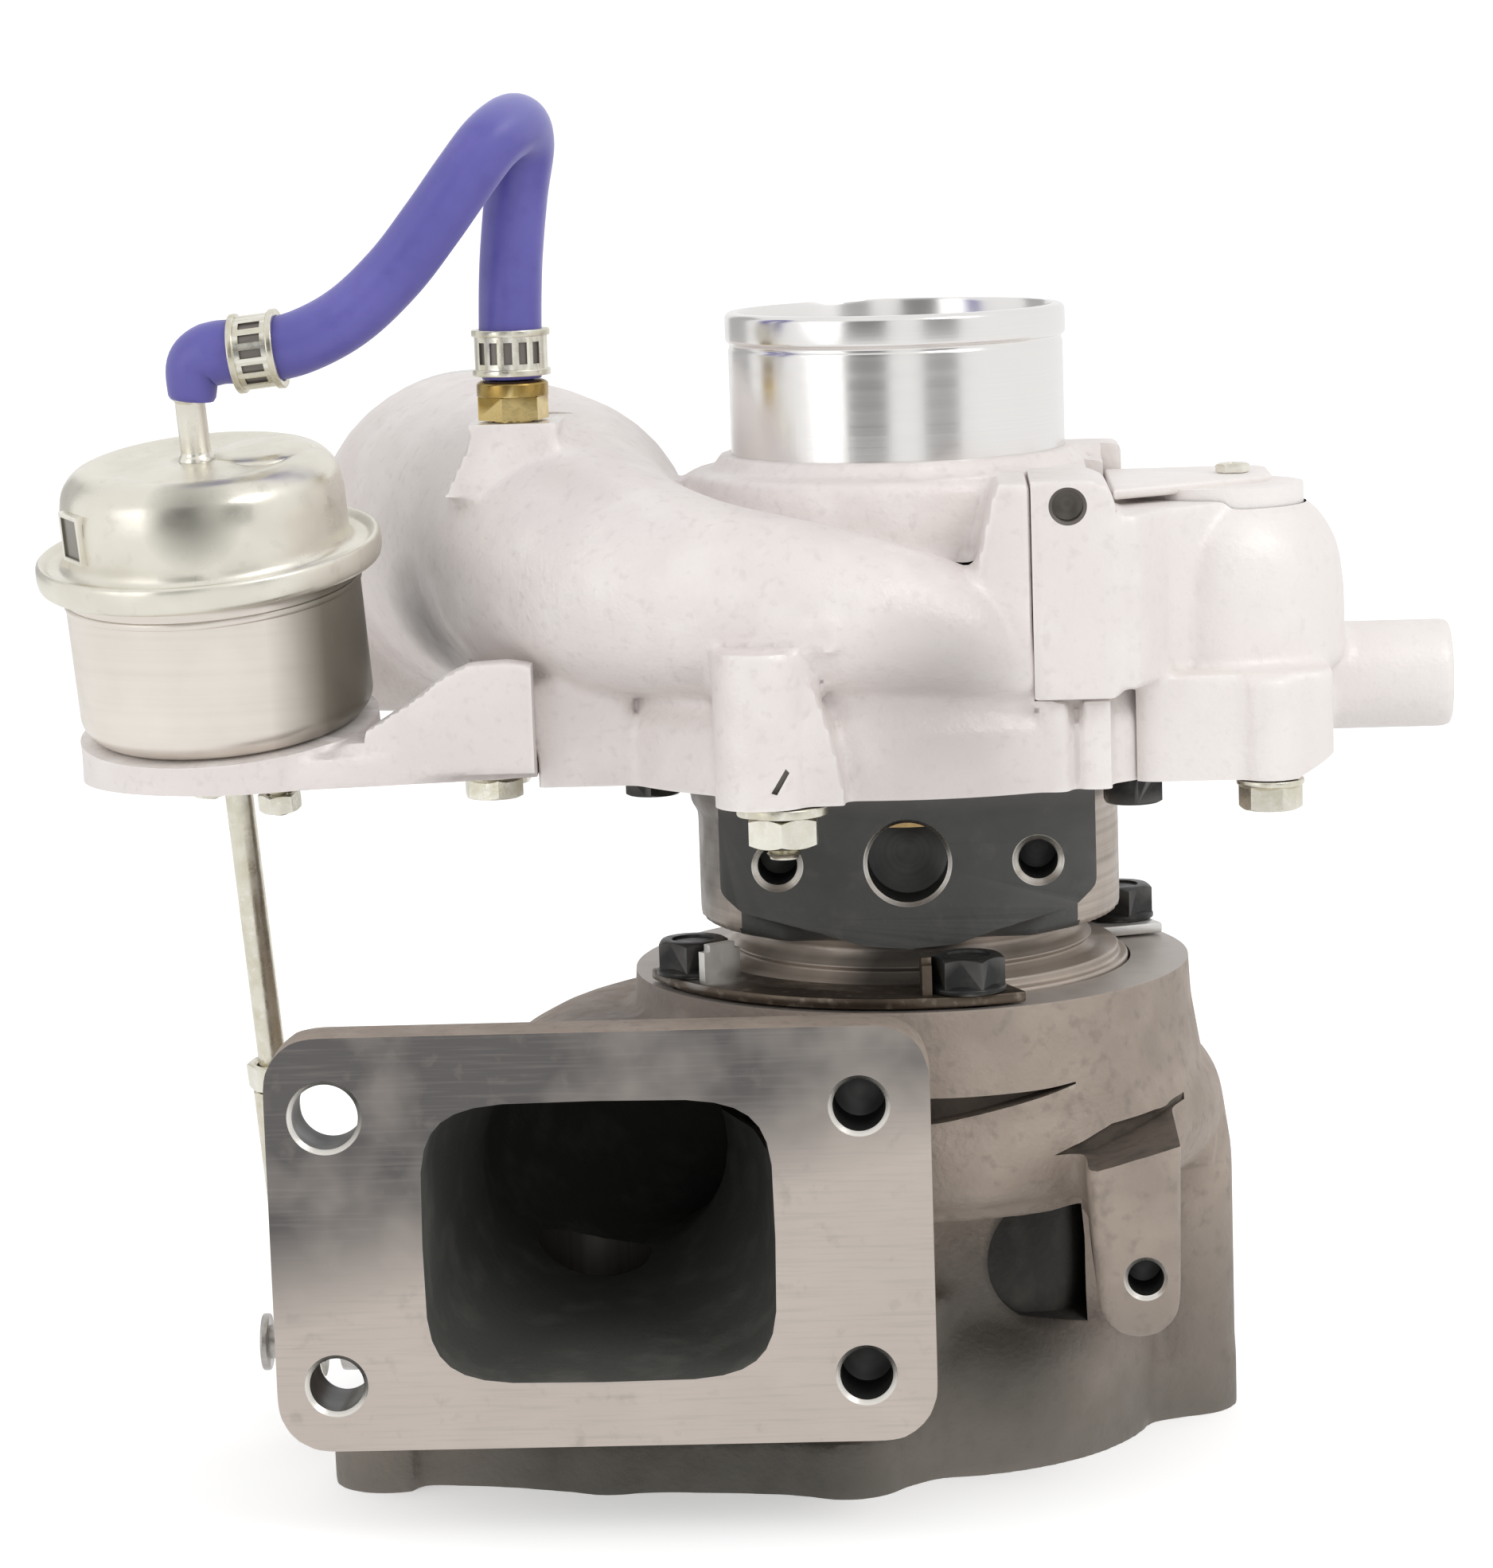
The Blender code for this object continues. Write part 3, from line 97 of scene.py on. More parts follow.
class Look:
    """Builds one procedural material; all its sizes are millimetres in the row frame."""

    def __init__(self, name, colour, metallic, roughness):
        self.material = plain_look(name, {"Metallic": metallic, "Roughness": roughness})
        self.tree = self.material.node_tree
        self.shader = self.tree.nodes["Principled BSDF"]
        self.colour = (*colour, 1)
        self.roughness = roughness
        coords = self.tree.nodes.new("ShaderNodeTexCoord")
        self.place = self.vector("SCALE", coords.outputs["Object"])
        dial(self.place.node, {"Scale": 1 / MM})
        self.height = None

    def link(self, source, target):
        self.tree.links.new(source, target)

    def vector(self, operation, first, second=None):
        node = self.tree.nodes.new("ShaderNodeVectorMath")
        node.operation = operation
        self.link(first, node.inputs[0])
        if second is not None:
            node.inputs[1].default_value = second
        return node.outputs["Value" if operation in ("DISTANCE", "DOT_PRODUCT") else "Vector"]

    def maths(self, operation, first, second):
        node = self.tree.nodes.new("ShaderNodeMath")
        node.operation = operation
        for value, socket in ((first, node.inputs[0]), (second, node.inputs[1])):
            if isinstance(value, (int, float)):
                socket.default_value = value
            else:
                self.link(value, socket)
        return node.outputs[0]

    def noise(self, size, detail=3, shift=0):
        """Noise whose grain has a size, or one size for each axis; 0 leaves an axis out."""
        sizes = size if isinstance(size, tuple) else (size, size, size)
        scaled = self.vector("MULTIPLY", self.place, tuple(1 / s if s else 0 for s in sizes))
        moved = self.vector("ADD", scaled, (shift, shift * 0.7, -shift))
        node = self.tree.nodes.new("ShaderNodeTexNoise")
        dial(node, {"Scale": 1, "Detail": detail})
        self.link(moved, node.inputs["Vector"])
        return node.outputs[0]

    def span(self, value, start, end, low=0, high=1):
        node = self.tree.nodes.new("ShaderNodeMapRange")
        self.link(value, node.inputs["Value"])
        dial(node, {"From Min": start, "From Max": end, "To Min": low, "To Max": high})
        return node.outputs[0]

    def tint(self, factor, colour, amount=1):
        """Mixes another colour over the ones so far."""
        if amount != 1:
            factor = self.maths("MULTIPLY", factor, amount)
        node = self.tree.nodes.new("ShaderNodeMix")
        node.data_type = "RGBA"
        self.link(factor, node.inputs["Factor"])
        under, over = [s for s in node.inputs if s.name in ("A", "B") and s.type == "RGBA"]
        if isinstance(self.colour, tuple):
            under.default_value = self.colour
        else:
            self.link(self.colour, under)
        over.default_value = (*colour, 1)
        self.colour = [s for s in node.outputs if s.type == "RGBA"][0]
        return self

    def blotch(self, size, colour, start=0.45, end=0.65, amount=1, shift=0, detail=3):
        return self.tint(self.span(self.noise(size, detail, shift), start, end), colour, amount)

    def near(self, point, inner, outer, colour, amount=1):
        """Tints the surface round a point, given in millimetres from the shaft axis; most of its uses are
        painted shade, painted highlights and painted reflections.
        """
        centre = Vector(point) + SHAFT / MM
        distance = self.vector("DISTANCE", self.place, tuple(centre))
        return self.tint(self.span(distance, outer, inner), colour, amount)

    def along(self, start, end, colour, amount=1):
        """Fades into another colour from one point to another."""
        start, end = [Vector(point) + SHAFT / MM for point in (start, end)]
        way = (end - start) / (end - start).length_squared
        reach = self.vector("DOT_PRODUCT", self.place, tuple(way))
        offset = start.dot(way)
        return self.tint(self.span(reach, offset, offset + 1), colour, amount)

    def edges(self, colour, start=0.52, end=0.6, amount=1):
        """Brightens or darkens outer edges, or hollows if start is above end."""
        geometry = self.tree.nodes.new("ShaderNodeNewGeometry")
        return self.tint(self.span(geometry.outputs["Pointiness"], start, end), colour, amount)

    def shine(self, size, swing, shift=3):
        """Lets the roughness wander."""
        low, high = self.roughness - swing, self.roughness + swing
        reach = self.span(self.noise(size, 3, shift), 0.3, 0.7, low, high)
        self.link(reach, self.shader.inputs["Roughness"])
        return self

    def relief(self, size, height, detail=2, shift=0):
        """Adds a bump of a grain size and a height."""
        layer = self.maths("MULTIPLY", self.noise(size, detail, shift), height)
        self.height = layer if self.height is None else self.maths("ADD", self.height, layer)
        return self

    def done(self):
        if not isinstance(self.colour, tuple):
            self.link(self.colour, self.shader.inputs["Base Color"])
        if self.height is not None:
            bump = self.tree.nodes.new("ShaderNodeBump")
            dial(bump, {"Distance": MM})
            self.link(self.height, bump.inputs["Height"])
            self.link(bump.outputs["Normal"], self.shader.inputs["Normal"])
        return self.material


def turned_look(name, colour, metallic, roughness, axis, pitch=0.35, depth=0.012):
    """Metal with the fine rings that a lathe leaves round an axis: 0, 1 or 2."""
    size = tuple(pitch if k == axis else 0 for k in range(3))
    look = Look(name, colour, metallic, roughness)
    dark = tuple(c * 0.72 for c in colour)
    look.blotch(size, dark, 0.42, 0.62, 0.5, detail=1).blotch(9, dark, 0.5, 0.75, 0.35, shift=4)
    return look.shine(6, 0.07).relief(size, depth, 1).relief(1.2, 0.006).done()


iron = (
    Look("turbine_cast", (0.345, 0.283, 0.236), 0.2, 0.6)
    .blotch(34, (0.27, 0.225, 0.19), 0.4, 0.66, 0.7).blotch(9, (0.4, 0.33, 0.275), 0.48, 0.7, 0.6, 5)
    .blotch(2.2, (0.2, 0.17, 0.145), 0.54, 0.72, 0.5, 9).edges((0.5, 0.43, 0.37), 0.53, 0.62, 0.5)
    # Painted shade: the iron darkens towards the bottom, with painted dark patches round the pocket, a
    # near-black painted shadow inside it, at the front of the foot on the left and behind the flange's upper
    # part
    .along((0, 0, 36), (0, 0, 2), (0.12, 0.108, 0.092), 0.85)
    .near((12, -34, 22), 9, 22, (0.07, 0.066, 0.055), 0.8)
    .near((20.5, -22, 30.6), 9.4, 11.4, (0.022, 0.021, 0.018), 0.95)
    .near((-36, -40, 4), 20, 42, (0.045, 0.042, 0.034), 0.8)
    .near((-42, -30, 66), 14, 34, (0.17, 0.145, 0.135), 0.6).shine(5, 0.1).relief(0.9, 0.16, 4)
    .relief(4.5, 0.22, 2, 7).done()
)

ground = (
    Look("ground_flange", (0.53, 0.468, 0.42), 0.55, 0.42)
    # Painted reflection: the ground face fades to near-black towards its top and stays light below
    .along((-38, -60, 45), (-42, -60, 60), (0.105, 0.1, 0.098), 0.97)
    .blotch(16, (0.6, 0.53, 0.47), 0.45, 0.7, 0.35, 2)
    .blotch((14, 14, 0.5), (0.3, 0.28, 0.26), 0.5, 0.7, 0.22, 6)
    .blotch(3, (0.26, 0.235, 0.21), 0.6, 0.75, 0.3, 11).shine(7, 0.1).relief((10, 10, 0.4), 0.012, 1)
    .relief(0.8, 0.012).done()
)

soot = (
    Look("sooty_channel", (0.085, 0.085, 0.077), 0, 0.8).blotch(7, (0.12, 0.118, 0.106), 0.5, 0.7)
    .relief(1, 0.15, 3).done()
)

bored_iron = turned_look("bored_iron", (0.2, 0.18, 0.16), 0.6, 0.42, 1)
# Painted shade: hole and port walls are near-black, standing in for the shade inside them
dark_painted_shade = turned_look("dark_painted_shade", (0.07, 0.07, 0.068), 0.6, 0.4, 1)
top_face = (
    Look("turbine_top_face", (0.5, 0.455, 0.42), 0.4, 0.42)
    # Painted shade at the front of the top face, under the centre housing
    .near((-16, -40, 73), 14, 36, (0.15, 0.13, 0.115), 0.85)
    .blotch(5, (0.36, 0.32, 0.29), 0.45, 0.7, 0.4).relief(1, 0.012).done()
)

shiny = turned_look("bright_chamfer", (0.8, 0.77, 0.72), 1, 0.26, 1, 0.4)

# Painted shade: the slits' walls are dark brown, standing in for the shade in the narrow slits
groove = (
    Look("slit_painted_shade", (0.105, 0.082, 0.064), 0.1, 0.7).blotch(4, (0.06, 0.05, 0.04), 0.45, 0.7)
    .relief(1, 0.15, 3).done()
)

# Painted shadow: the pocket's walls are near-black, standing in for the shadow under the scroll's tail and
# beside the lug
pocket = (
    Look("pocket_painted_shadow", (0.03, 0.028, 0.024), 0.1, 0.75).blotch(5, (0.055, 0.05, 0.042), 0.45, 0.7)
    .relief(1.2, 0.2, 3).done()
)

chra = (
    Look("centre_housing_cast", (0.066, 0.067, 0.064), 0.2, 0.5)
    .blotch(14, (0.05, 0.051, 0.05), 0.4, 0.65, 0.9)
    .blotch(3, (0.095, 0.092, 0.085), 0.56, 0.74, 0.5, 4).edges((0.17, 0.16, 0.15), 0.53, 0.62, 0.6)
    .shine(5, 0.09).relief(0.8, 0.06, 3).relief(4, 0.08, 2, 3).done()
)

chra_turned = (
    Look("centre_housing_turned", (0.5, 0.43, 0.37), 0.45, 0.38)
    .blotch((0, 0, 1.5), (0.25, 0.21, 0.175), 0.45, 0.62, 0.6)
    .blotch(10, (0.32, 0.27, 0.23), 0.45, 0.7, 0.5, 2)
    # Painted shade: the turned drum darkens on its left side and in the middle of the neck behind the front
    # bolt
    .near((-34, -6, 96), 12, 21, (0.1, 0.085, 0.07), 0.85)
    .near((0.5, -30, 75), 7, 14, (0.06, 0.052, 0.045), 0.9).shine(5, 0.1).relief((0, 0, 0.4), 0.02, 1)
    .relief(0.9, 0.03).done()
)

cast = (
    Look("cover_cast", (0.765, 0.712, 0.69), 0.12, 0.44).blotch(28, (0.72, 0.66, 0.64), 0.42, 0.68, 0.8)
    .blotch(8, (0.82, 0.775, 0.75), 0.48, 0.7, 0.6, 5)
    .blotch(1.7, (0.62, 0.57, 0.55), 0.56, 0.72, 0.45, 9, 4).edges((0.9, 0.87, 0.85), 0.525, 0.6, 0.7)
    # Painted light: darkened hollows are painted shade, the lighter right side is painted light, and dark
    # patches are painted shade and reflection on the scroll's left by the can, at the scroll's end by the
    # flange block and on the band below the scroll
    .edges((0.34, 0.3, 0.29), 0.475, 0.42, 0.75)
    .along((15, 0, 130), (45, 0, 130), (0.88, 0.84, 0.81), 0.45)
    .near((-77, 2, 122), 5, 15, (0.17, 0.148, 0.135), 0.9)
    .near((-76, 4, 113), 3, 13, (0.15, 0.13, 0.115), 0.7)
    .near((6.5, -51, 121), 3, 15, (0.42, 0.385, 0.37), 0.75)
    .near((6, -50, 106), 7, 22, (0.47, 0.425, 0.41), 0.6).shine(4, 0.09).relief(0.75, 0.1, 4)
    .relief(3.6, 0.14, 2, 7).done()
)

milled = (
    Look("cover_milled", (0.8, 0.77, 0.75), 0.75, 0.33)
    .blotch((0.5, 12, 12), (0.62, 0.59, 0.58), 0.45, 0.65, 0.4).shine(5, 0.08)
    .relief((0.4, 8, 8), 0.012, 1).done()
)

bright = (
    Look("turned_aluminium", (0.84, 0.82, 0.8), 1, 0.22)
    .blotch((0, 0, 0.3), (0.8, 0.795, 0.795), 0.42, 0.62, 0.3, detail=1)
    .blotch(12, (0.8, 0.79, 0.785), 0.5, 0.7, 0.4, 4).shine((0, 0, 2), 0.04)
    .relief((0, 0, 0.3), 0.0025, 1).relief(1.5, 0.003).done()
)
bright_y = turned_look("turned_aluminium_outlet", (0.86, 0.85, 0.845), 1, 0.24, 1, 0.3, 0.008)

upper_zinc = (
    Look("can_zinc", (0.82, 0.79, 0.7), 0.85, 0.33).blotch(13, (0.72, 0.69, 0.6), 0.42, 0.68, 0.7)
    .blotch(2.4, (0.6, 0.57, 0.49), 0.58, 0.74, 0.35, 6).edges((0.95, 0.93, 0.86), 0.52, 0.6, 0.5)
    .shine(6, 0.09).relief(7, 0.05, 1).relief(0.7, 0.006)
    # Painted reflection: a dark spot on the can's front near its top; the darkened hollows below are painted
    # shade
    .near((-100.5, -40, 146), 2.5, 7.5, (0.15, 0.15, 0.125), 0.75)
    .edges((0.2, 0.19, 0.16), 0.475, 0.42, 0.85).done()
)

lower_zinc = (
    Look("can_brushed", (0.8, 0.745, 0.68), 0.75, 0.38)
    .blotch((0, 0, 1.4), (0.72, 0.665, 0.6), 0.42, 0.66, 0.45, detail=2)
    .blotch(11, (0.86, 0.81, 0.745), 0.45, 0.7, 0.5, 3)
    # Painted reflection: the lower can darkens towards its right side
    .along((-91, -20, 125), (-83.5, -20, 125), (0.19, 0.175, 0.14), 0.9).shine(6, 0.07)
    .relief((0, 0, 0.7), 0.006, 1).relief(0.9, 0.008).done()
)

hardware = (
    Look("plated_hardware", (0.74, 0.71, 0.6), 1, 0.3).blotch(3.5, (0.6, 0.56, 0.43), 0.42, 0.66, 0.8)
    .blotch(1.2, (0.86, 0.84, 0.78), 0.56, 0.7, 0.5, 5).edges((0.93, 0.92, 0.86), 0.52, 0.6, 0.6)
    .shine(2.5, 0.1).relief(0.6, 0.02).relief(2, 0.02).done()
)

plate = (
    Look("clamp_plate_steel", (0.1, 0.078, 0.06), 0.85, 0.38)
    .blotch(7, (0.11, 0.085, 0.062), 0.42, 0.64, 0.85).blotch(2, (0.36, 0.31, 0.25), 0.55, 0.7, 0.5, 4)
    .near((33, 14, 77), 9, 16, (0.8, 0.79, 0.77), 0.9)
    .near((-29, -24, 78.5), 3, 6.5, (0.84, 0.83, 0.8), 0.9).shine(3, 0.1).relief(0.8, 0.03)
    .relief(3, 0.04).done()
)

black = (
    Look("black_oxide", (0.028, 0.029, 0.029), 0.7, 0.4)
    .blotch(2.5, (0.055, 0.053, 0.05), 0.45, 0.68, 0.8).edges((0.2, 0.19, 0.18), 0.53, 0.62, 0.7)
    .shine(2, 0.1).relief(0.5, 0.02).done()
)

steel = (
    Look("bare_steel", (0.46, 0.44, 0.42), 1, 0.34).blotch(4, (0.34, 0.32, 0.3), 0.42, 0.66, 0.7)
    .blotch((0, 0, 0.6), (0.56, 0.54, 0.52), 0.5, 0.68, 0.4, 3).shine(3, 0.1).relief(0.7, 0.02)
    .relief((0, 0, 0.5), 0.008).done()
)

wheel_alloy = turned_look("wheel_alloy", (0.78, 0.78, 0.79), 1, 0.26, 2, 0.5, 0.01)
bronze = turned_look("bearing_bronze", (0.62, 0.42, 0.19), 1, 0.32, 2)
bronze_flat = turned_look("thrust_bronze", (0.6, 0.41, 0.19), 1, 0.36, 1)

brass = (
    Look("fitting_brass", (0.31, 0.21, 0.06), 1, 0.28).blotch(2.6, (0.38, 0.24, 0.06), 0.42, 0.62, 0.85)
    .edges((0.92, 0.74, 0.36), 0.52, 0.6, 0.6).shine(2, 0.08).relief(0.5, 0.015).done()
)

silicone = Look("hose_silicone", (0.1, 0.09, 0.36), 0, 0.42)
silicone.blotch(16, (0.125, 0.112, 0.41), 0.4, 0.66, 0.8).blotch(3, (0.082, 0.072, 0.31), 0.5, 0.7, 0.4, 4)
# Painted highlight at the hose's top outer bend
silicone.near((-54, -17, 206), 3, 12, (0.33, 0.34, 0.6), 0.6)
silicone.shine(6, 0.08).relief(0.6, 0.012).relief((5, 5, 1.6), 0.02, 1)
dial(silicone.shader, {
    "Sheen Weight": 0.45, "Sheen Roughness": 0.4, "Sheen Tint": (0.75, 0.74, 1, 1),
    "Subsurface Weight": 0.12, "Subsurface Scale": 0.002,
})
silicone = silicone.done()

rubber = (
    Look("black_rubber", (0.022, 0.022, 0.023), 0, 0.62)
    .blotch(4, (0.035, 0.034, 0.034), 0.45, 0.68, 0.8).shine(3, 0.08).relief(0.5, 0.03).done()
)

nylon = (
    Look("filled_nylon", (0.05, 0.05, 0.05), 0, 0.5).blotch(2, (0.075, 0.073, 0.07), 0.5, 0.7, 0.7)
    .shine(2, 0.08).relief(0.4, 0.03).done()
)

CARRIED = {
    "cast_aluminium": cast, "zinc": hardware, "black_steel": black, "steel": steel,
    "wheel_aluminium": wheel_alloy, "bronze": bronze, "brass": brass, "hose_rubber": silicone,
    "rubber": rubber, "valve_plastic": nylon, "turbine_iron": iron, "bearing_iron": chra,
}


# ---- shapes


def placed(name, mesh, look):
    mesh.materials.append(look)
    item = bpy.data.objects.new(name, mesh)
    bpy.context.collection.objects.link(item)
    return item


def from_bmesh(bm, look, name="shape"):
    mesh = bpy.data.meshes.new(name)
    bm.to_mesh(mesh)
    bm.free()
    return placed(name, mesh, look)


def closed_shape(bm, look):
    bmesh.ops.remove_doubles(bm, verts=bm.verts, dist=1e-4)
    bmesh.ops.recalc_face_normals(bm, faces=bm.faces)
    return from_bmesh(bm, look)


def loft(rings, look):
    """A skin over rings that have equally many points, with both ends capped."""
    bm = bmesh.new()
    rows = [[bm.verts.new(point) for point in ring] for ring in rings]
    count = len(rings[0])
    for below, above in zip(rows, rows[1:]):
        for i in range(count):
            j = (i + 1) % count
            bm.faces.new((below[i], below[j], above[j], above[i]))
    bm.faces.new(rows[0])
    bm.faces.new(rows[-1])
    return closed_shape(bm, look)


def eased(profile, radius, steps=3):
    """Rounds the corners of a closed (radius, z) profile, except those on the axis."""
    points = []
    count = len(profile)
    for k, corner in enumerate(profile):
        here = Vector(corner)
        if here.x == 0:
            points.append(tuple(here))
            continue
        ends = []
        for other in (profile[k - 1], profile[(k + 1) % count]):
            side = Vector(other) - here
            ends.append(here + side.normalized() * min(radius, side.length * 0.4))
        for i in range(steps + 1):
            t = i / steps
            points.append(tuple(ends[0] * (1 - t) ** 2 + here * 2 * t * (1 - t) + ends[1] * t * t))
    return points


def turned(profile, look, sides=96, centre=(0, 0)):
    """Turns a closed profile of (radius, z) points about the vertical through the centre."""
    bm = bmesh.new()
    rows = []
    for radius, z in profile:
        if radius == 0:
            rows.append([bm.verts.new((centre[0], centre[1], z))])
            continue
        turns = [2 * pi * i / sides for i in range(sides)]
        rows.append(
            [bm.verts.new((centre[0] + radius * cos(a), centre[1] + radius * sin(a), z)) for a in turns]
        )
    for below, above in zip(rows, rows[1:] + rows[:1]):
        if len(below) == 1 and len(above) == 1:
            continue
        for i in range(sides):
            j = (i + 1) % sides
            corners = [
                below[i % len(below)], below[j % len(below)], above[j % len(above)], above[i % len(above)],
            ]
            bm.faces.new(list(dict.fromkeys(corners)))
    return closed_shape(bm, look)


def lathe(profile, ease, look, sides=96, centre=(0, 0)):
    return turned(eased(profile, ease), look, sides, centre)


def disc(radius, bottom, top, look, sides=64, centre=(0, 0)):
    return turned([(0, bottom), (radius, bottom), (radius, top), (0, top)], look, sides, centre)


def tube(inner, outer, bottom, top, look, sides=64, ease=0.25):
    return lathe([(inner, bottom), (outer, bottom), (outer, top), (inner, top)], ease, look, sides)


def prism(outline, bottom, top, look, along="Z"):
    place = {
        "Z": lambda a, b, c: (a, b, c),
        "Y": lambda a, b, c: (a, c, b),
        "X": lambda a, b, c: (c, a, b),
    }[along]
    return loft([[place(a, b, level) for a, b in outline] for level in (bottom, top)], look)


def box(x, y, z, look):
    return prism([(x[0], y[0]), (x[1], y[0]), (x[1], y[1]), (x[0], y[1])], z[0], z[1], look)


def round_outline(x, y, radius, steps=8):
    points = []
    for cx, cy, start in ((x[1], y[1], 0), (x[0], y[1], 90), (x[0], y[0], 180), (x[1], y[0], 270)):
        mid_x = cx - radius if cx == x[1] else cx + radius
        mid_y = cy - radius if cy == y[1] else cy + radius
        for i in range(steps + 1):
            a = radians(start + 90 * i / steps)
            points.append((mid_x + radius * cos(a), mid_y + radius * sin(a)))
    return points


def circle_outline(centre, radius, sides, start=0):
    turns = [start + 2 * pi * i / sides for i in range(sides)]
    return [(centre[0] + radius * cos(a), centre[1] + radius * sin(a)) for a in turns]


def round_shaft(radius, angle):
    """The (x, y) that a radius and an angle in degrees give."""
    a = radians(angle)
    return (radius * cos(a), radius * sin(a))


def arc_outline(centre, radius, start, end, steps=16):
    turns = [radians(start + (end - start) * i / steps) for i in range(steps + 1)]
    return [(centre[0] + radius * cos(a), centre[1] + radius * sin(a)) for a in turns]


def smooth_through(knots, steps):
    """Points on a smooth curve through knots of any number of values."""
    rows = [Vector(knot) for knot in knots]
    rows = [rows[0] * 2 - rows[1]] + rows + [rows[-1] * 2 - rows[-2]]
    fine = []
    for a, b, c, d in zip(rows, rows[1:], rows[2:], rows[3:]):
        for i in range(steps):
            t = i / steps
            fine.append(0.5 * (2 * b + (c - a) * t + (2 * a - 5 * b + 4 * c - d) * t * t
                               + (3 * b - a - 3 * c + d) * t ** 3))
    fine.append(rows[-2])
    return fine


def applied(item):
    """The item's mesh with its modifiers in it."""
    bpy.context.view_layer.update()
    mesh = bpy.data.meshes.new_from_object(item.evaluated_get(bpy.context.evaluated_depsgraph_get()))
    item.modifiers.clear()
    item.data = mesh
    return item


def combine(body, tools, operation):
    """Boolean work; the exact solver takes over where the quick one leaves nothing."""
    for tool in tools:
        before = body.data
        for solver in ("MANIFOLD", "EXACT"):
            body.data = before
            modifier = body.modifiers.new("work", "BOOLEAN")
            modifier.operation = operation
            modifier.solver = solver
            modifier.material_mode = "TRANSFER"
            modifier.object = tool
            applied(body)
            if len(body.data.polygons) or not len(before.polygons):
                break
        bpy.data.objects.remove(tool)
    return body


def join(body, *tools):
    return combine(body, tools, "UNION")


def cut(body, *tools):
    return combine(body, tools, "DIFFERENCE")


def keep(body, *tools):
    return combine(body, tools, "INTERSECT")


def melt(parts, voxel, rounds, look):
    """Unites closed shapes into one casting, with the soft inner and outer corners that sand moulds give."""
    bm = bmesh.new()
    for part in parts:
        bm.from_mesh(part.data)
        bpy.data.objects.remove(part)
    item = from_bmesh(bm, look, "casting")
    remesh = item.modifiers.new("melt", "REMESH")
    remesh.mode = "VOXEL"
    remesh.voxel_size = voxel
    remesh.adaptivity = 0
    soften = item.modifiers.new("soften", "SMOOTH")
    soften.factor = 0.5
    soften.iterations = rounds
    applied(item)
    item.data.materials.clear()
    item.data.materials.append(look)
    for face in item.data.polygons:
        face.material_index = 0
    return item


def bevelled(item, width, segments):
    bevel = item.modifiers.new("bevel", "BEVEL")
    bevel.width = width
    bevel.segments = segments
    bevel.angle_limit = radians(40)
    return applied(item)


def moved(item, matrix):
    item.data.transform(matrix)
    return item


def at(item, x, y, z=0):
    return moved(item, Matrix.Translation((x, y, z)))


def lying(item, point, axis):
    """Turns an upright shape so that its +Z runs along the axis, and puts its own origin at a point."""
    turn = Vector((0, 0, 1)).rotation_difference(Vector(axis)).to_matrix().to_4x4()
    return moved(item, Matrix.Translation(Vector(point)) @ turn)


def bar(radius, start, axis, length, look, sides=40):
    return lying(disc(radius, 0, length, look, sides), start, axis)


def hole(radius, start, axis, length, look, mouth=0.6):
    """A drilled hole with a small chamfer, from a start on the face that it is drilled into."""
    drill = turned([
        (0, -2), (radius + mouth + 2, -2), (radius, mouth), (radius, length - radius * 0.4), (0, length),
    ], look, 48)
    return lying(drill, start, axis)


def drilled(body, radius, start, axis, length, mouth=0.6):
    """Drills a hole with a chamfer that was cut bright."""
    cone = turned(
        [(0, -2), (radius + mouth + 2, -2), (radius, mouth), (radius - 0.2, mouth + 0.2), (0, mouth + 0.2)],
        shiny, 64,
    )
    drill = turned([(0, -1), (radius, -1), (radius, length - radius * 0.4), (0, length)], dark_painted_shade, 64)
    return cut(body, lying(cone, start, axis), lying(drill, start, axis))


def hex_outline(across, turn=0):
    return circle_outline((0, 0), across / 2 / cos(pi / 6), 6, turn)


def hex_head(across, bottom, top, look, turn=0, both=False):
    """A hexagon with its top corners, or both ends' corners, turned off."""
    corner = across / 2 / cos(pi / 6)
    body = prism(hex_outline(across, turn), bottom, top, look)
    drop = (corner - across / 2) * 0.75
    edge = corner + 0.1
    cone = [(0, bottom - 1), (edge, bottom - 1)]
    if both:
        cone = [(0, bottom), (across / 2 - 0.1, bottom), (edge, bottom + drop)]
    cone += [(edge, top - drop), (across / 2 - 0.1, top), (0, top)]
    return keep(body, turned(cone, look, 48))


def threaded(radius, bottom, top, look, pitch=0.9):
    """A rod with thread ridges."""
    profile = [(0, bottom), (radius - 0.5, bottom)]
    z = bottom + 0.3
    while z < top - pitch:
        profile += [(radius - 0.45, z), (radius, z + pitch / 2)]
        z += pitch
    profile += [(radius - 0.5, top), (0, top)]
    return turned(profile, look, 32)


def oval_ring(centre, across, up, half_width, half_height, power, sides):
    points = []
    for i in range(sides):
        a = 2 * pi * i / sides
        c, s = cos(a), sin(a)
        x = half_width * (abs(c) ** (2 / power)) * (1 if c >= 0 else -1)
        y = half_height * (abs(s) ** (2 / power)) * (1 if s >= 0 else -1)
        points.append(Vector(centre) + Vector(across) * x + Vector(up) * y)
    return points


def scroll_rings(stations, wall, sides):
    rings = []
    for angle, radius, z, size in stations:
        a = radians(angle)
        outward = Vector((cos(a), sin(a), 0))
        middle = outward * radius + Vector((0, 0, z))
        rings.append(oval_ring(middle, outward, (0, 0, 1), size + wall, size + wall, 2, sides))
    return rings


def put(item, node, name=None, crease=38):
    """Carries a finished shape into the row frame, in place of its CAD node, and onto its body."""
    item.name = name or node + "_fine"
    item.data.name = item.name
    item.data.transform(TO_ROW)
    item.data.shade_smooth()
    item.data.set_sharp_from_angle(angle=radians(crease))
    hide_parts(node)
    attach(item, frame["nodes"][node]["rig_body"])
    return item


# ---- turbine housing

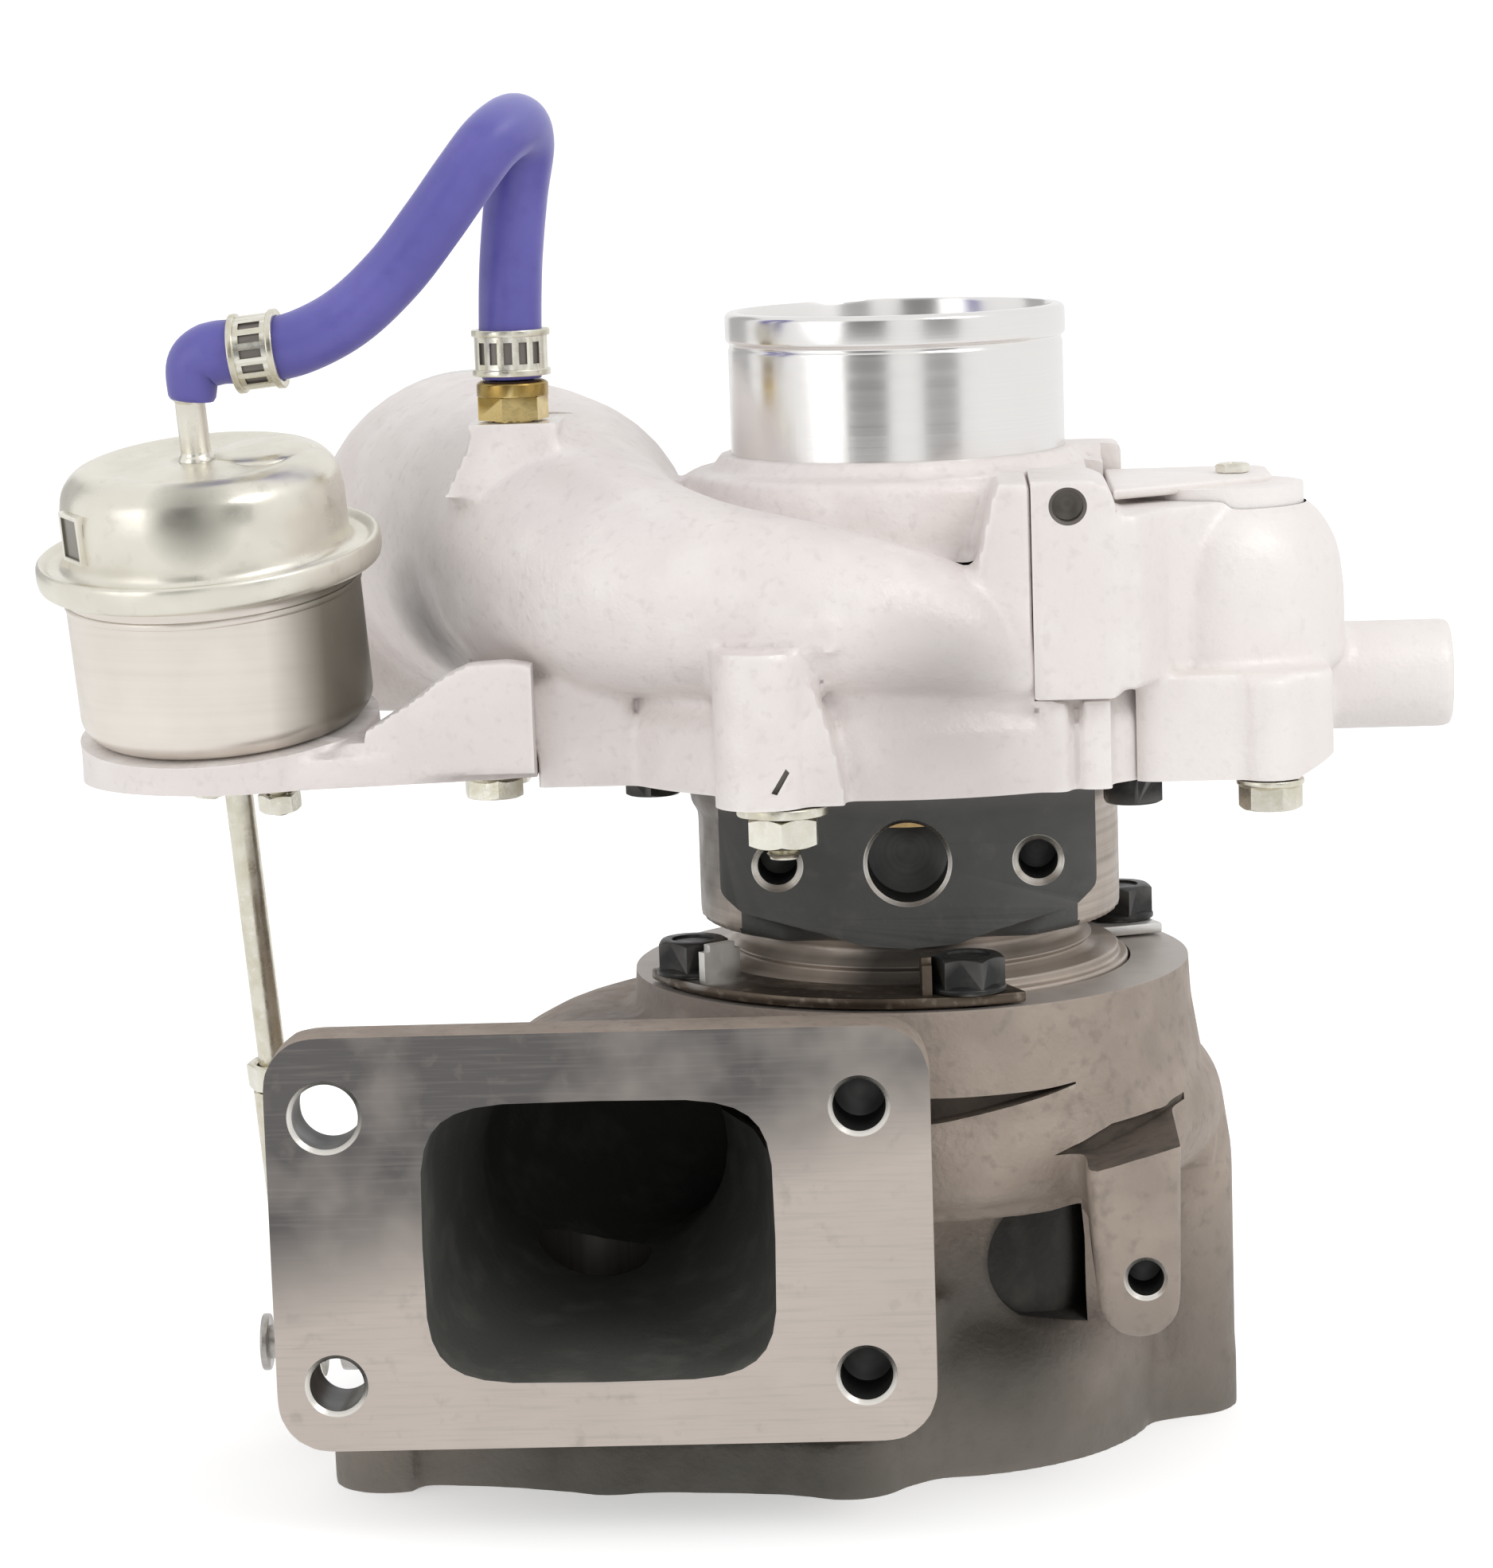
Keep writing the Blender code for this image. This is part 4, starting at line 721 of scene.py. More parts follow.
INLET_CENTRE = (-44.8, 44.2)
INLET_X, INLET_Z = -45.2, 43.5
HOLE_ACROSS, HOLE_UP = 37.7, 19.5
FLAP = (-50, 1)
SPINDLE = (20, 13)
TURBINE_SCROLL = [
    (-118, 37.5, 49.6, 3.2), (-85, 37.4, 50.2, 4.2), (-45, 36, 51.2, 5.6), (0, 36, 48.9, 7),
    (35, 38.8, 46.8, 9.4), (70, 41.4, 46.4, 12.4), (105, 43.3, 46.5, 14.8), (142, 45.4, 45.3, 16.6),
    (180, 47.5, 44.2, 18.5),
]
DUCT = [
    (-14, 20.8, 19.2, 2.3), (-28, 23, 19.8, 3), (-42, 24.6, 20.2, 4.2), (-52, 24.9, 20.4, 4.8),
    (-62.5, 25, 20.4, 5),
]
FOOT_LOBES = [(-79.5, -25.5), (-46, -28.5), (-11, -33), (40, 6), (24, 40), (-24, 44), (-77, 30)]
LOBE_R = 8.8
BOLT_CIRCLE = 37.2
TURBINE_TOP = 72.4
CLAMP_SPAN = 73
TURBINE_BOLTS = (30, 30 + CLAMP_SPAN, 210, 210 + CLAMP_SPAN)


def turbine_channel(wall, look):
    stations = smooth_through(TURBINE_SCROLL, 5)
    rings = scroll_rings(stations, wall, 32)
    x, z = INLET_CENTRE
    duct = rings[5 * 6:]
    for y, half_width, half_height, power in smooth_through(DUCT, 3):
        size = (half_width + wall, half_height + wall)
        duct.append(oval_ring((x, y, z), (-1, 0, 0), (0, 0, 1), *size, power, 32))
    return [loft(rings[:5 * 7 + 1], look), loft(duct, look)]


def foot_outline():
    """The foot's edge: a round lobe at each hole, and a shallow dip between two lobes."""
    lobes = [Vector(lobe) for lobe in FOOT_LOBES]
    middle = sum(lobes, Vector((0, 0))) / len(lobes)
    points = []
    for i, lobe in enumerate(lobes):
        after = lobes[(i + 1) % len(lobes)]
        sides = [lobe - lobes[i - 1], after - lobe]
        start, end = [atan2(-side.x, side.y) for side in sides]
        bend = (end - start + pi) % (2 * pi) - pi
        spread = bend / 2 + radians(30)
        for k in range(13):
            a = start + bend / 2 + spread * (k / 6 - 1)
            points.append(lobe + LOBE_R * Vector((cos(a), sin(a))))
        for share in (0.3, 0.5, 0.7):
            side = lobe.lerp(after, share)
            dip = 2.2 if share == 0.5 else 1.9
            points.append(side + (side - middle).normalized() * (LOBE_R - dip))
    return [tuple(point) for point in points]


def arc_slit(stations, inner, outer):
    """A narrow slit that runs round the shaft; each station is an angle and the slit's two heights."""
    rings = []
    for angle, bottom, top in smooth_through(stations, 5):
        way = Vector((cos(radians(angle)), sin(radians(angle)), 0))
        rings.append([
            way * r + Vector((0, 0, z))
            for r, z in ((inner, bottom), (outer, bottom), (outer, top), (inner, top))
        ])
    return loft(rings, groove)


def turbine_housing():
    body = turned([
        (0, 40), (38, 40), (39.5, 50), (42.2, 55), (43.8, 57.5), (43.2, 61), (42.3, 66.5), (41.9, 75),
        (0, 75),
    ], iron)
    barrel = lathe([
        (0, -1.5), (36.5, -1.5), (36.5, 15.5), (34, 19), (30, 22), (29, 46), (0, 46),
    ], 2.5, iron, centre=(0, 4))
    foot = prism(foot_outline(), -1.5, 9, iron)
    chamber = prism(round_outline((-76, 5.5), (-31, 33), 7), 1, 27, iron)
    column = lathe(
        [(0, -1.5), (8.9, -1.5), (8.9, 40), (7.6, 50), (4, 54), (0, 54)], 2, iron, 48, (39.7, 6.2),
    )
    bridge = box((20, 40), (-1.5, 13), (-1.2, 50), iron)
    shoulder = prism([(25, 40), (45.5, 40), (46, 48), (41, 57), (25, 57)], -6, 12, iron, "Y")
    lug_front = arc_outline((31.7, 31.4), 5.9, 180, 360) + [(38, 54.6), (24.3, 51.2)]
    lug = prism(lug_front, -50.5, -20, iron, "Y")
    flange = prism(round_outline((-91.5, 2.5), (14.3, 74.6), 7.5), -61.5, -50.4, iron, "Y")
    pads = [bar(8.5, (INLET_X + dx, -50.8, INLET_Z + dz), (0, 1, 0), 3, iron)
            for dx, dz in ((HOLE_ACROSS, HOLE_UP), (HOLE_ACROSS, -HOLE_UP), (-HOLE_ACROSS, -HOLE_UP))]
    parts = [
        *turbine_channel(3.9, iron), body, barrel, foot, chamber, column, bridge, shoulder, lug, flange,
        *pads,
    ]
    casting = melt(parts, 1.15, 5, iron)

    # Hollows that the sand cores left, and the slits beside the scroll's thin tail; the slits and the pocket
    # get dark materials as painted shade
    long_slit = [(-92, 56, 60.2), (-84, 56.5, 60), (-74, 57.8, 60), (-64, 59.1, 60.1), (-57, 60.2, 60.5)]
    slit = [(20.1, 50.6), (28.7, 53.8), (36.8, 54.5), (40, 54.9), (40, 54), (37.1, 53.5), (26, 50.4)]
    recess = arc_outline((20, 30.4), 9.8, 100, 238) + [(25.1, 19.6), (25.1, 31), (24.3, 41)]
    cut(
        casting,
        *turbine_channel(0, soot),
        prism(round_outline((-69, -12), (-16, 27), 6), -4, 17.5, soot),
        arc_slit(long_slit, 40.4, 56),
        cut(prism(slit, -60, 0, groove, "Y"), disc(44.6, 40, 60, groove, 128)),
        cut(prism(recess, -60, 0, pocket, "Y"), disc(25.6, 0, 60, pocket, 96)),
    )
    # Turned and ground faces
    cut(
        casting,
        box((-110, 20), (-80, -60), (-5, 90), ground),
        box((-120, 80), (-80, 80), (-10, 0), ground),
        box((-70, 60), (-49, 70), (TURBINE_TOP, 90), top_face),
        turned([
            (0, -3), (22.9, -3), (22.5, 0.6), (22.5, 27), (21.6, 33), (21.7, 40), (23.4, 45), (27.2, 49.5),
            (36, 49.6), (36, 56.2), (27.2, 56.3), (27.2, 62.5), (29.8, 62.5), (29.8, 68.3),
            (33.3, 68.3), (33.3, 73), (34, 76), (0, 76),
        ], bored_iron),
        disc(8.8, 10, 34, bored_iron, 48, FLAP),
    )
    for side_x, side_z, radius in ((-1, 1, 4.7), (-1, -1, 3.9), (1, 1, 3.75), (1, -1, 3.75)):
        start = (INLET_X + side_x * HOLE_ACROSS, -60, INLET_Z + side_z * HOLE_UP)
        drilled(casting, radius, start, (0, 1, 0), 14 if side_x < 0 else 12, 0.65)
    for x, y in FOOT_LOBES:
        cut(casting, hole(3.6, (x, y, 0), (0, 0, 1), 14, dark_painted_shade))
    for angle in TURBINE_BOLTS:
        cut(casting, disc(3.3, 60, 80, dark_painted_shade, 32, round_shaft(BOLT_CIRCLE, angle)))
    drilled(casting, 2.6, (32.6, -50.4, 34.6), (0, 1, 0), 10, 0.5)
    cut(casting, bar(5.8, (-90, *SPINDLE), (1, 0, 0), 25, dark_painted_shade, 48))
    return casting


# ---- rotor and centre housing


def bladed(hub, count, sections, thick, look, start=0):
    for k in range(count):
        rings = []
        for z, inner, outer, twist, lean in smooth_through(sections, 5):
            rings.append([])
            for radius, side in (
                (inner, -1), ((inner + outer) / 2, -1), (outer, -1), (outer, 1), ((inner + outer) / 2, 1),
                (inner, 1),
            ):
                share = (radius - inner) / (outer - inner)
                a = 2 * pi * k / count + radians(start + twist + lean * share)
                half = thick / 2 * (1.25 - 0.6 * share)
                point = Vector((cos(a), sin(a), 0)) * radius + Vector((-sin(a), cos(a), 0)) * half * side
                rings[-1].append(point + Vector((0, 0, z)))
        join(hub, loft(rings, look))
    return hub


def turbine_wheel_shaft():
    hub = lathe([
        (0, 33), (4.5, 33), (6.5, 36), (8, 44), (12, 51), (20, 55.4), (24.5, 56.5), (24.5, 57.5),
        (9.2, 57.6), (8.2, 58.6), (8.2, 59.9), (6.9, 59.9), (6.9, 61.6), (8.2, 61.6), (8.2, 63),
        (4, 63.6), (4, 104), (2.9, 104.4), (2.9, 141), (0, 141),
    ], 0.4, steel, 64)
    blades = [(56.2, 15, 26.5, 0, 0), (50.2, 9, 26.5, 2, 0), (42.5, 6, 21.5, 16, 4), (34.4, 4, 20.9, 42, 8)]
    return bladed(hub, 11, blades, 1.2, steel)


def compressor_wheel():
    hub = lathe([
        (3.2, 109), (27, 109), (27, 109.9), (18, 112.2), (11.5, 118), (8.4, 126), (7, 133.5), (3.2, 134),
    ], 0.8, wheel_alloy, 96)
    full = [
        (109.6, 12, 26.4, 34, 0), (112.8, 10, 26.4, 30, 0), (119, 7, 21.4, 16, 2), (132.4, 5, 19.5, -16, 6),
    ]
    part = [
        (109.6, 12, 26.4, 34, 0), (112.8, 10, 26.4, 30, 0), (119, 8, 21.4, 17, 2), (124.5, 7, 19.8, 3, 4),
    ]
    bladed(hub, 6, full, 0.9, wheel_alloy)
    return bladed(hub, 6, part, 0.9, wheel_alloy, 30)


OIL_PORT = (0, -28, 91.8)
OIL_STUDS = 19.05
DRAIN_PORT = (0, 33, 90.6)


def bearing_housing():
    drum = turned([(0, 80), (31.8, 80), (31.8, 97), (33, 98), (33, 103.2), (0, 103.2)], chra)
    cut(drum, box((-50, 50), (-60, -26), (60, 120), chra))
    pad = [
        (27.5, 99.5), (-27.5, 99.5), (-27.5, 88), (-24.5, 85), (-12, 81.4), (-7, 79.6), (0, 79),
        (7, 79.6), (12, 81.4), (24.5, 85), (27.5, 88),
    ]
    drain = round_outline((-20, 20), (83, 98.2), 5)
    parts = [
        drum, prism(pad, -29.5, -6, chra, "Y"), prism(drain, 10, 34.5, chra, "Y"),
        box((-27.5, 27.5), (-29.5, -6), (95, 104), chra),
    ]
    casting = melt(parts, 0.85, 4, chra)
    cut(
        casting,
        box((-50, 50), (-50, -28), (60, 120), chra), box((-50, 50), (33, 50), (60, 120), dark_painted_shade),
        box((-50, 50), (-50, 50), (103.2, 120), dark_painted_shade),
    )
    neck = lathe([
        (0, 59.4), (24.8, 59.4), (24.8, 64.1), (29.4, 64.1), (29.4, 68.6), (32.9, 68.6), (32.9, 73),
        (31.5, 73), (31.5, 74.4), (28.2, 74.6), (26.8, 75.4), (27.6, 76.2), (26, 77.2), (25.4, 78.4),
        (25.8, 80), (25.8, 90), (0, 90),
    ], 0.45, chra_turned)
    join(casting, neck)
    cut(
        casting,
        turned(
            [(0, 58), (9, 58), (9, 67.5), (6.9, 68), (6.9, 96), (24, 96), (24, 104.5), (0, 104.5)],
            dark_painted_shade, 64,
        ),
        hole(5.8, DRAIN_PORT, (0, -1, 0), 26, dark_painted_shade),
    )
    drilled(casting, 5.9, OIL_PORT, (0, 1, 0), 11, 0.6)
    cut(casting, bar(4.4, OIL_PORT, (0, 1, 0), 8.5, dark_painted_shade, 64))
    for x in (-OIL_STUDS, OIL_STUDS):
        drilled(casting, 2.9, (x, *OIL_PORT[1:]), (0, 1, 0), 12, 0.9)
    for x in (-14.5, 14.5):
        drilled(casting, 2.7, (x, *DRAIN_PORT[1:]), (0, -1, 0), 10)
    # The drum behind the oil pad was turned, so it shows brown metal beside the dark pad
    casting.data.materials.append(chra_turned)
    for face in casting.data.polygons:
        if face.center.y > -27.2 and hypot(face.center.x, face.center.y) > 26 and abs(face.center.x) > 25:
            face.material_index = len(casting.data.materials) - 1
    return casting


def clamp_plate(start):
    end = start + CLAMP_SPAN
    outer = arc_outline((0, 0), 41.2, start - 11, end + 11, 40)
    inner = arc_outline((0, 0), 29.6, end + 11, start - 11, 40)
    strap = prism(outer + inner, TURBINE_TOP + 0.3, TURBINE_TOP + 2, plate)
    bevelled(strap, 0.45, 2)
    for angle in (start + 9.5, end - 9.5):
        tab = box((33.2, 39.8), (-0.7, 0.7), (TURBINE_TOP + 1.7, 79.8), plate)
        cut(tab, box((30, 34.2), (-3, 3), (78.8, 90), plate), box((38.8, 44), (-3, 3), (78.8, 90), plate))
        join(strap, moved(tab, Matrix.Rotation(radians(angle), 4, "Z")))
    for angle in (start, end):
        cut(strap, disc(3.4, 70, 80, plate, 32, round_shaft(BOLT_CIRCLE, angle)))
    return strap


def bolt(across, head, shank_r, shank, look, turn=0, flange=0):
    """A hexagon bolt standing head up: the head is above Z = 0 and the shank hangs below it."""
    body = hex_head(across, 0 if not flange else 0.8, head, look, turn)
    if flange:
        join(body, lathe([(0, 0), (flange, 0), (flange, 0.7), (across / 2, 1.3), (0, 1.3)], 0.2, look, 48))
    dimple = turned(
        [(0, head - 0.35), (across / 2 - 1.6, head - 0.35), (across / 2 - 1.2, head + 1), (0, head + 1)],
        look, 32,
    )
    cut(body, dimple)
    return join(body, threaded(shank_r, -shank, 0.5, look))


def upside_down(item):
    return moved(item, Matrix.Rotation(pi, 4, "X"))


def nut(across, bottom, top, bore, look, turn=0):
    body = hex_head(across, bottom, top, look, turn, both=True)
    return cut(body, turned([
        (0, bottom - 1), (bore + 1.3, bottom - 1), (bore, bottom + 0.4), (bore, top - 0.4),
        (bore + 1.3, top + 1), (0, top + 1),
    ], look, 40))


# ---- compressor cover

COMPRESSOR_SCROLL = [
    (-64, 41.2, 120.5, 3.4), (-72, 41.3, 124.2, 5.2), (-80, 41.4, 127.4, 6.8), (-105, 42.3, 131, 8.6),
    (-130, 44.2, 132.4, 10.8), (-155, 47.6, 134.2, 14), (-180, 52, 135.8, 18),
]
OUTLET = (-68.8, 134.9)
OUTLET_WAY = [
    (12, -55.2, 135.7, 20.6), (24, -60.2, 135.4, 21.6), (36, -65.6, 135.1, 22), (46, -68.8, 134.9, 22),
]
COVER_LOW = 104.3
STUD = (-17.3, -47.5)
COVER_BOLTS = (-30, 60, 120, 180)
COVER_CIRCLE = 38.5
FITTING = (-56.5, -12)
BYPASS = (47.5, -15)
BYPASS_BOLT = (52.5, -34)
SPOUT = (81, -9, 115.3)
LID_SCREW = (49.4, -9)
BRACKET_BOLT_X = -60.8
BRACKET_BOLTS = [(BRACKET_BOLT_X, -20), (BRACKET_BOLT_X, -6)]


def compressor_channel(wall, end_y, look):
    rings = scroll_rings(smooth_through(COMPRESSOR_SCROLL, 6), wall, 36)
    mouth = rings[6 * 2:]
    for y, x, z, size in smooth_through([*OUTLET_WAY, (end_y, *OUTLET, 22)], 3):
        mouth.append(oval_ring((x, y, z), (-1, 0, 0), (0, 0, 1), size + wall, size + wall, 2, 36))
    return [loft(rings[:6 * 4 + 1], look), loft(mouth, look)]


def compressor_cover():
    body = lathe([
        (0, 102), (48, 102), (48, 113.5), (46.6, 115.5), (45.4, 121), (42, 126.5),
        (36.5, 131), (33.5, 138), (32, 147), (31, 148), (0, 148),
    ], 1, cast)
    collar = lathe([(0, 140), (27.2, 140), (27.2, 150.2), (0, 150.2)], 0.8, cast)
    mark_spot = ((-10.9, -52.6, 128.4), (-0.2, -0.95, -0.15))
    parts = [
        *compressor_channel(3.4, 52, cast), body, collar,
        # The stud's boss and the swell beside it
        disc(6.9, 102, 126.4, cast, 48, (-19.9, -48.6)),
        prism([(-26.6, -48), (-26.6, -34), (-13.2, -34), (-13.2, -48)], 102, 126, cast),
        prism([
            (-16, 102), (-8.3, 102), (-8.5, 107), (-9.6, 112.5), (-11.4, 118.5), (-13.8, 125), (-16, 125),
        ], -51.6, -40, cast, "Y"),
        # The bypass valve's seat, with two ribs under it
        prism([
            (10.2, 120.6), (18.7, 118.6), (18.7, 148.5), (13.8, 148.5), (12.6, 144), (11.2, 138), (10.6, 128),
        ], -46, -14, cast, "Y"),
        box((20.4, 23.4), (-44.4, -24), (102, 117.1), cast),
        box((25.6, 29.6), (-42.6, -24), (102, 117.1), cast),
        box((24.5, 33.5), (2, 14), (140, 149.8), cast),
        # The fitting's pad
        prism([
            (-67, 146), (-64.4, 151), (-62.8, 154), (-62.8, 158), (-49.4, 158), (-49.4, 154), (-47.6, 151),
            (-45, 146),
        ], -18.2, -5.4, cast, "Y"),
        # The rib under the outlet, and the bracket's seat
        prism([(-91, 132), (-90, 115), (-85, 108), (-60, 106.5), (-60, 132)], 32, 39, cast, "Y"),
        box((-65.8, -40), (-28, 2), (110.8, 119.6), cast),
        box((-53.6, -40), (-27.8, 1.8), (102, 112), cast),
        lying(lathe([(1.4, -4), (2.7, -4), (2.7, 0.9), (1.4, 0.9)], 0.3, cast, 32), *mark_spot),
    ]
    casting = melt(parts, 0.95, 4, cast)

    outlet = lying(lathe([
        (0, 0), (25, 0), (25.4, 0.5), (25.4, 3.4), (24.6, 4.4), (24.6, 11), (0, 11),
    ], 0.4, bright_y), (OUTLET[0], 57, OUTLET[1]), (0, -1, 0))
    stub = lathe([
        (0, 149), (25, 149), (25, 165.7), (24.8, 166.1), (24.8, 166.6),
        (25.4, 167), (25.4, 170.7), (24.9, 171.3), (0, 171.3),
    ], 0.35, bright, 160)
    join(casting, outlet, stub)
    cut(
        casting,
        turned([
            (0, 100), (43.8, 100), (43.8, 108.9), (36, 109), (36, 115.8), (32.2, 115.8), (32.2, 113.6),
            (28, 113.5), (24.6, 115.8), (22.4, 118.8), (21.2, 122), (20.6, 126), (20.3, 133),
            (20.3, 146), (21.2, 151), (22.4, 155), (23.1, 160), (23.3, 170.6), (23.8, 172), (0, 173),
        ], bright, 160),
        *compressor_channel(0, 60, cast),
        box((-90, 80), (-80, 60), (95, COVER_LOW), milled),
        box((18.7, 30.6), (-60, -23.6), (117.3, 152), cast),
        box((27.6, 56), (-46, -5.6), (117.3, 152), cast),
        box((30.4, 60), (-31.4, 3.4), (143.9, 152), cast),
        disc(17.9, 117.3, 152, cast, 64, BYPASS),
        box((-70, -44), (-25, 0), (156.8, 170), milled),
    )
    # A notch beside the stud hole, left by the mould
    notch = prism(
        [(-18.6, 106.9), (-17.8, 106.6), (-16, 109.6), (-16.5, 110.2)], -60, -53.8, bored_iron, "Y",
    )
    cut(casting, notch)
    for angle in COVER_BOLTS:
        cut(casting, disc(2.9, 106, 116.5, dark_painted_shade, 32, round_shaft(COVER_CIRCLE, angle)))
    cut(
        casting,
        disc(2.9, 100, 118, dark_painted_shade, 32, STUD), disc(3.3, 140, 160, dark_painted_shade, 32, FITTING),
        *(disc(2.9, 100, 118, dark_painted_shade, 32, place) for place in BRACKET_BOLTS),
        bar(6, (20, -36, 131), (-1, 0, 0), 12, dark_painted_shade),
    )
    return casting


def backplate():
    return lathe([
        (8.1, 103.5), (43.5, 103.5), (43.5, 105), (41.9, 105), (41.9, 107), (43.5, 107), (43.5, 108.6),
        (8.1, 108.6),
    ], 0.25, milled)


# ---- bypass valve


def bypass_housing():
    flange = prism(
        [(18.5, 117.6), (30.6, 117.6), (30.6, 145.4), (29.6, 147.8), (27, 148.8), (18.5, 148.8)], -46, -24,
        cast, "Y",
    )
    drum = lathe([
        (0, 118), (17.5, 118), (17.5, 130), (16.6, 136.5), (13.6, 141.4), (9, 144), (0, 144),
    ], 2.4, cast, centre=BYPASS)
    neck = prism(
        [(28, -44.6), (33.5, -44.6), (38.5, -34), (55, -21), (55, -6), (28, -6)], 118.6, 143.4, cast,
    )
    foot = prism(round_outline((32.4, 61.8), (-36.5, -5.7), 4), 102.5, 119.6, cast)
    pillar = disc(4.2, 103, 119, cast, 40, (52.5, -34.6))
    corner = prism([(58, 107), (62.6, 109.5), (62.6, 114), (58, 114)], -24, -8, cast, "Y")
    spout = lying(lathe([(0, 0), (8, 0), (8, 26), (0, 26)], 0.5, cast, 64), SPOUT, (-1, 0, 0))
    casting = melt([flange, drum, neck, foot, pillar, corner, spout], 0.75, 5, cast)
    cut(
        casting,
        disc(48.4, 95, 117.45, cast, 128),
        box((10, 18.74), (-60, 0), (100, 160), cast), box((25, 70), (-45, 10), (90, 104.2), milled),
        prism([(56.5, 100), (56.5, 104.3), (61.5, 107.3), (66, 107.3), (66, 100)], -45, 10, cast, "Y"),
        box((30.7, 70), (-45, 10), (144, 160), milled),
        box((81, 90), (-20, 0), (100, 130), milled),
        disc(12.2, 121, 160, dark_painted_shade, 64, BYPASS),
        disc(4.6, 109.5, 130, dark_painted_shade, 40, (BYPASS[0] + 4.8, BYPASS[1])),
        bar(6.1, (10, -36, 131), (1, 0, 0), 18, dark_painted_shade),
        prism([(24, -40.5), (29.5, -40.5), (42, -21.5), (37, -17.5), (24, -31)], 126.5, 136, dark_painted_shade),
        hole(6, SPOUT, (-1, 0, 0), 29.5, dark_painted_shade, 0.5),
        disc(2.6, 100, 118, dark_painted_shade, 32, BYPASS_BOLT),
        hole(2.2, (23.9, -46, 145.1), (0, 1, 0), 4.5, bored_iron, 0.5),
        disc(1.8, 142.6, 150, dark_painted_shade, 24, LID_SCREW),
    )
    return casting


def bypass_lid():
    lid = prism(
        [(30.9, -30.6), (52.2, -17), (54.4, -14.6), (55, -12), (55, 0), (54, 2.4), (52, 3), (30.9, 3)],
        144.3, 145.9, cast,
    )
    bevelled(lid, 0.5, 3)
    join(lid, disc(11.8, 142, 145, cast, 64, BYPASS))
    return cut(lid, disc(1.8, 144.6, 150, dark_painted_shade, 24, LID_SCREW))


# ---- actuator

CAN_BASE = Vector((-99.8, -16, 108.4))
CAN_AXIS = Vector((-0.05, -0.15, 0.987)).normalized()
PIN_DROP = (CAN_BASE.z - 14.6) / CAN_AXIS.z
PIN_POINT = CAN_BASE - CAN_AXIS * PIN_DROP
CAN_LOW = 5.5
CAN_STUDS = ((7.4, -9, -6), (-5.6, 9, -8.2))


def on_can(item):
    return lying(item, CAN_BASE, CAN_AXIS)


def can_lower():
    body = turned(eased([
        (0, CAN_LOW), (19.6, CAN_LOW), (21.7, CAN_LOW + 2.4), (21.7, 28), (23.6, 29.3), (23.6, 30.4),
        (20.8, 30.4), (20.8, CAN_LOW + 3.2), (18.9, CAN_LOW + 1), (0, CAN_LOW + 1),
    ], 1.2, 5), lower_zinc, 128)
    join(body, lathe([(21.4, 25.4), (21.95, 25.8), (21.95, 26.6), (21.4, 27)], 0.3, lower_zinc, 128))
    for x, y, low in CAN_STUDS:
        join(body, at(threaded(1.6, low - 0.6, CAN_LOW + 0.6, hardware, 0.7), x, y))
    return on_can(cut(body, disc(4.3, CAN_LOW - 1, CAN_LOW + 2, dark_painted_shade, 40)))


def can_upper():
    outside = [
        (0, 45.6), (6.5, 45.6), (9.5, 45.2), (12.5, 45), (15.6, 45.9), (18.4, 45.2), (20.3, 43),
        (20.9, 39.6), (20.9, 33), (21.7, 31.9), (23.4, 31.7), (24.2, 32.5), (24.8, 32.9), (25.35, 32.4),
        (25.45, 30.6), (25.2, 29.2), (24.3, 28.5), (23.9, 29), (23.9, 31), (20, 31.4), (20, 39.4),
        (19.2, 42.2), (17.4, 44), (15.5, 44.7), (12.5, 43.8), (7, 44.4), (0, 44.4),
    ]
    body = turned(eased(outside, 1.3, 5), upper_zinc, 128)
    swell = turned(
        eased([(0, 44.2), (8.2, 44.2), (7.6, 45.6), (6, 46.3), (0, 46.5)], 1.6, 6), upper_zinc, 64,
    )
    join(body, at(swell, 9.4, 2.5))
    nipple = [
        (0, 44.6), (3, 44.6), (2.6, 46), (2.2, 46.6), (2.2, 54.4), (2.6, 54.8), (2.1, 55.5), (0, 55.5),
    ]
    join(body, lathe(nipple, 0.3, upper_zinc, 48))
    frame_mark = box((-3.1, 3.1), (20.2, 21.45), (34.4, 41.6), upper_zinc)
    cut(frame_mark, box((-2.4, 2.4), (21.15, 30), (35.1, 40.9), upper_zinc))
    join(body, moved(frame_mark, Matrix.Rotation(radians(124), 4, "Z")))
    return on_can(cut(body, disc(1.3, 50, 60, dark_painted_shade, 32)))


def rod_end():
    sleeve = lathe([(0, 4), (3.4, 4), (3.4, 42.2), (2.4, 42.2), (2.4, 19.6), (0, 19.6)], 0.35, hardware, 48)
    eye = prism(round_outline((-5.6, 5.6), (-5.6, 5.6), 5.55, 10), -2.5, 2.5, hardware, "X")
    join(sleeve, eye)
    return lying(cut(sleeve, bar(3.4, (-5, 0, 0), (1, 0, 0), 10, steel)), PIN_POINT, CAN_AXIS)


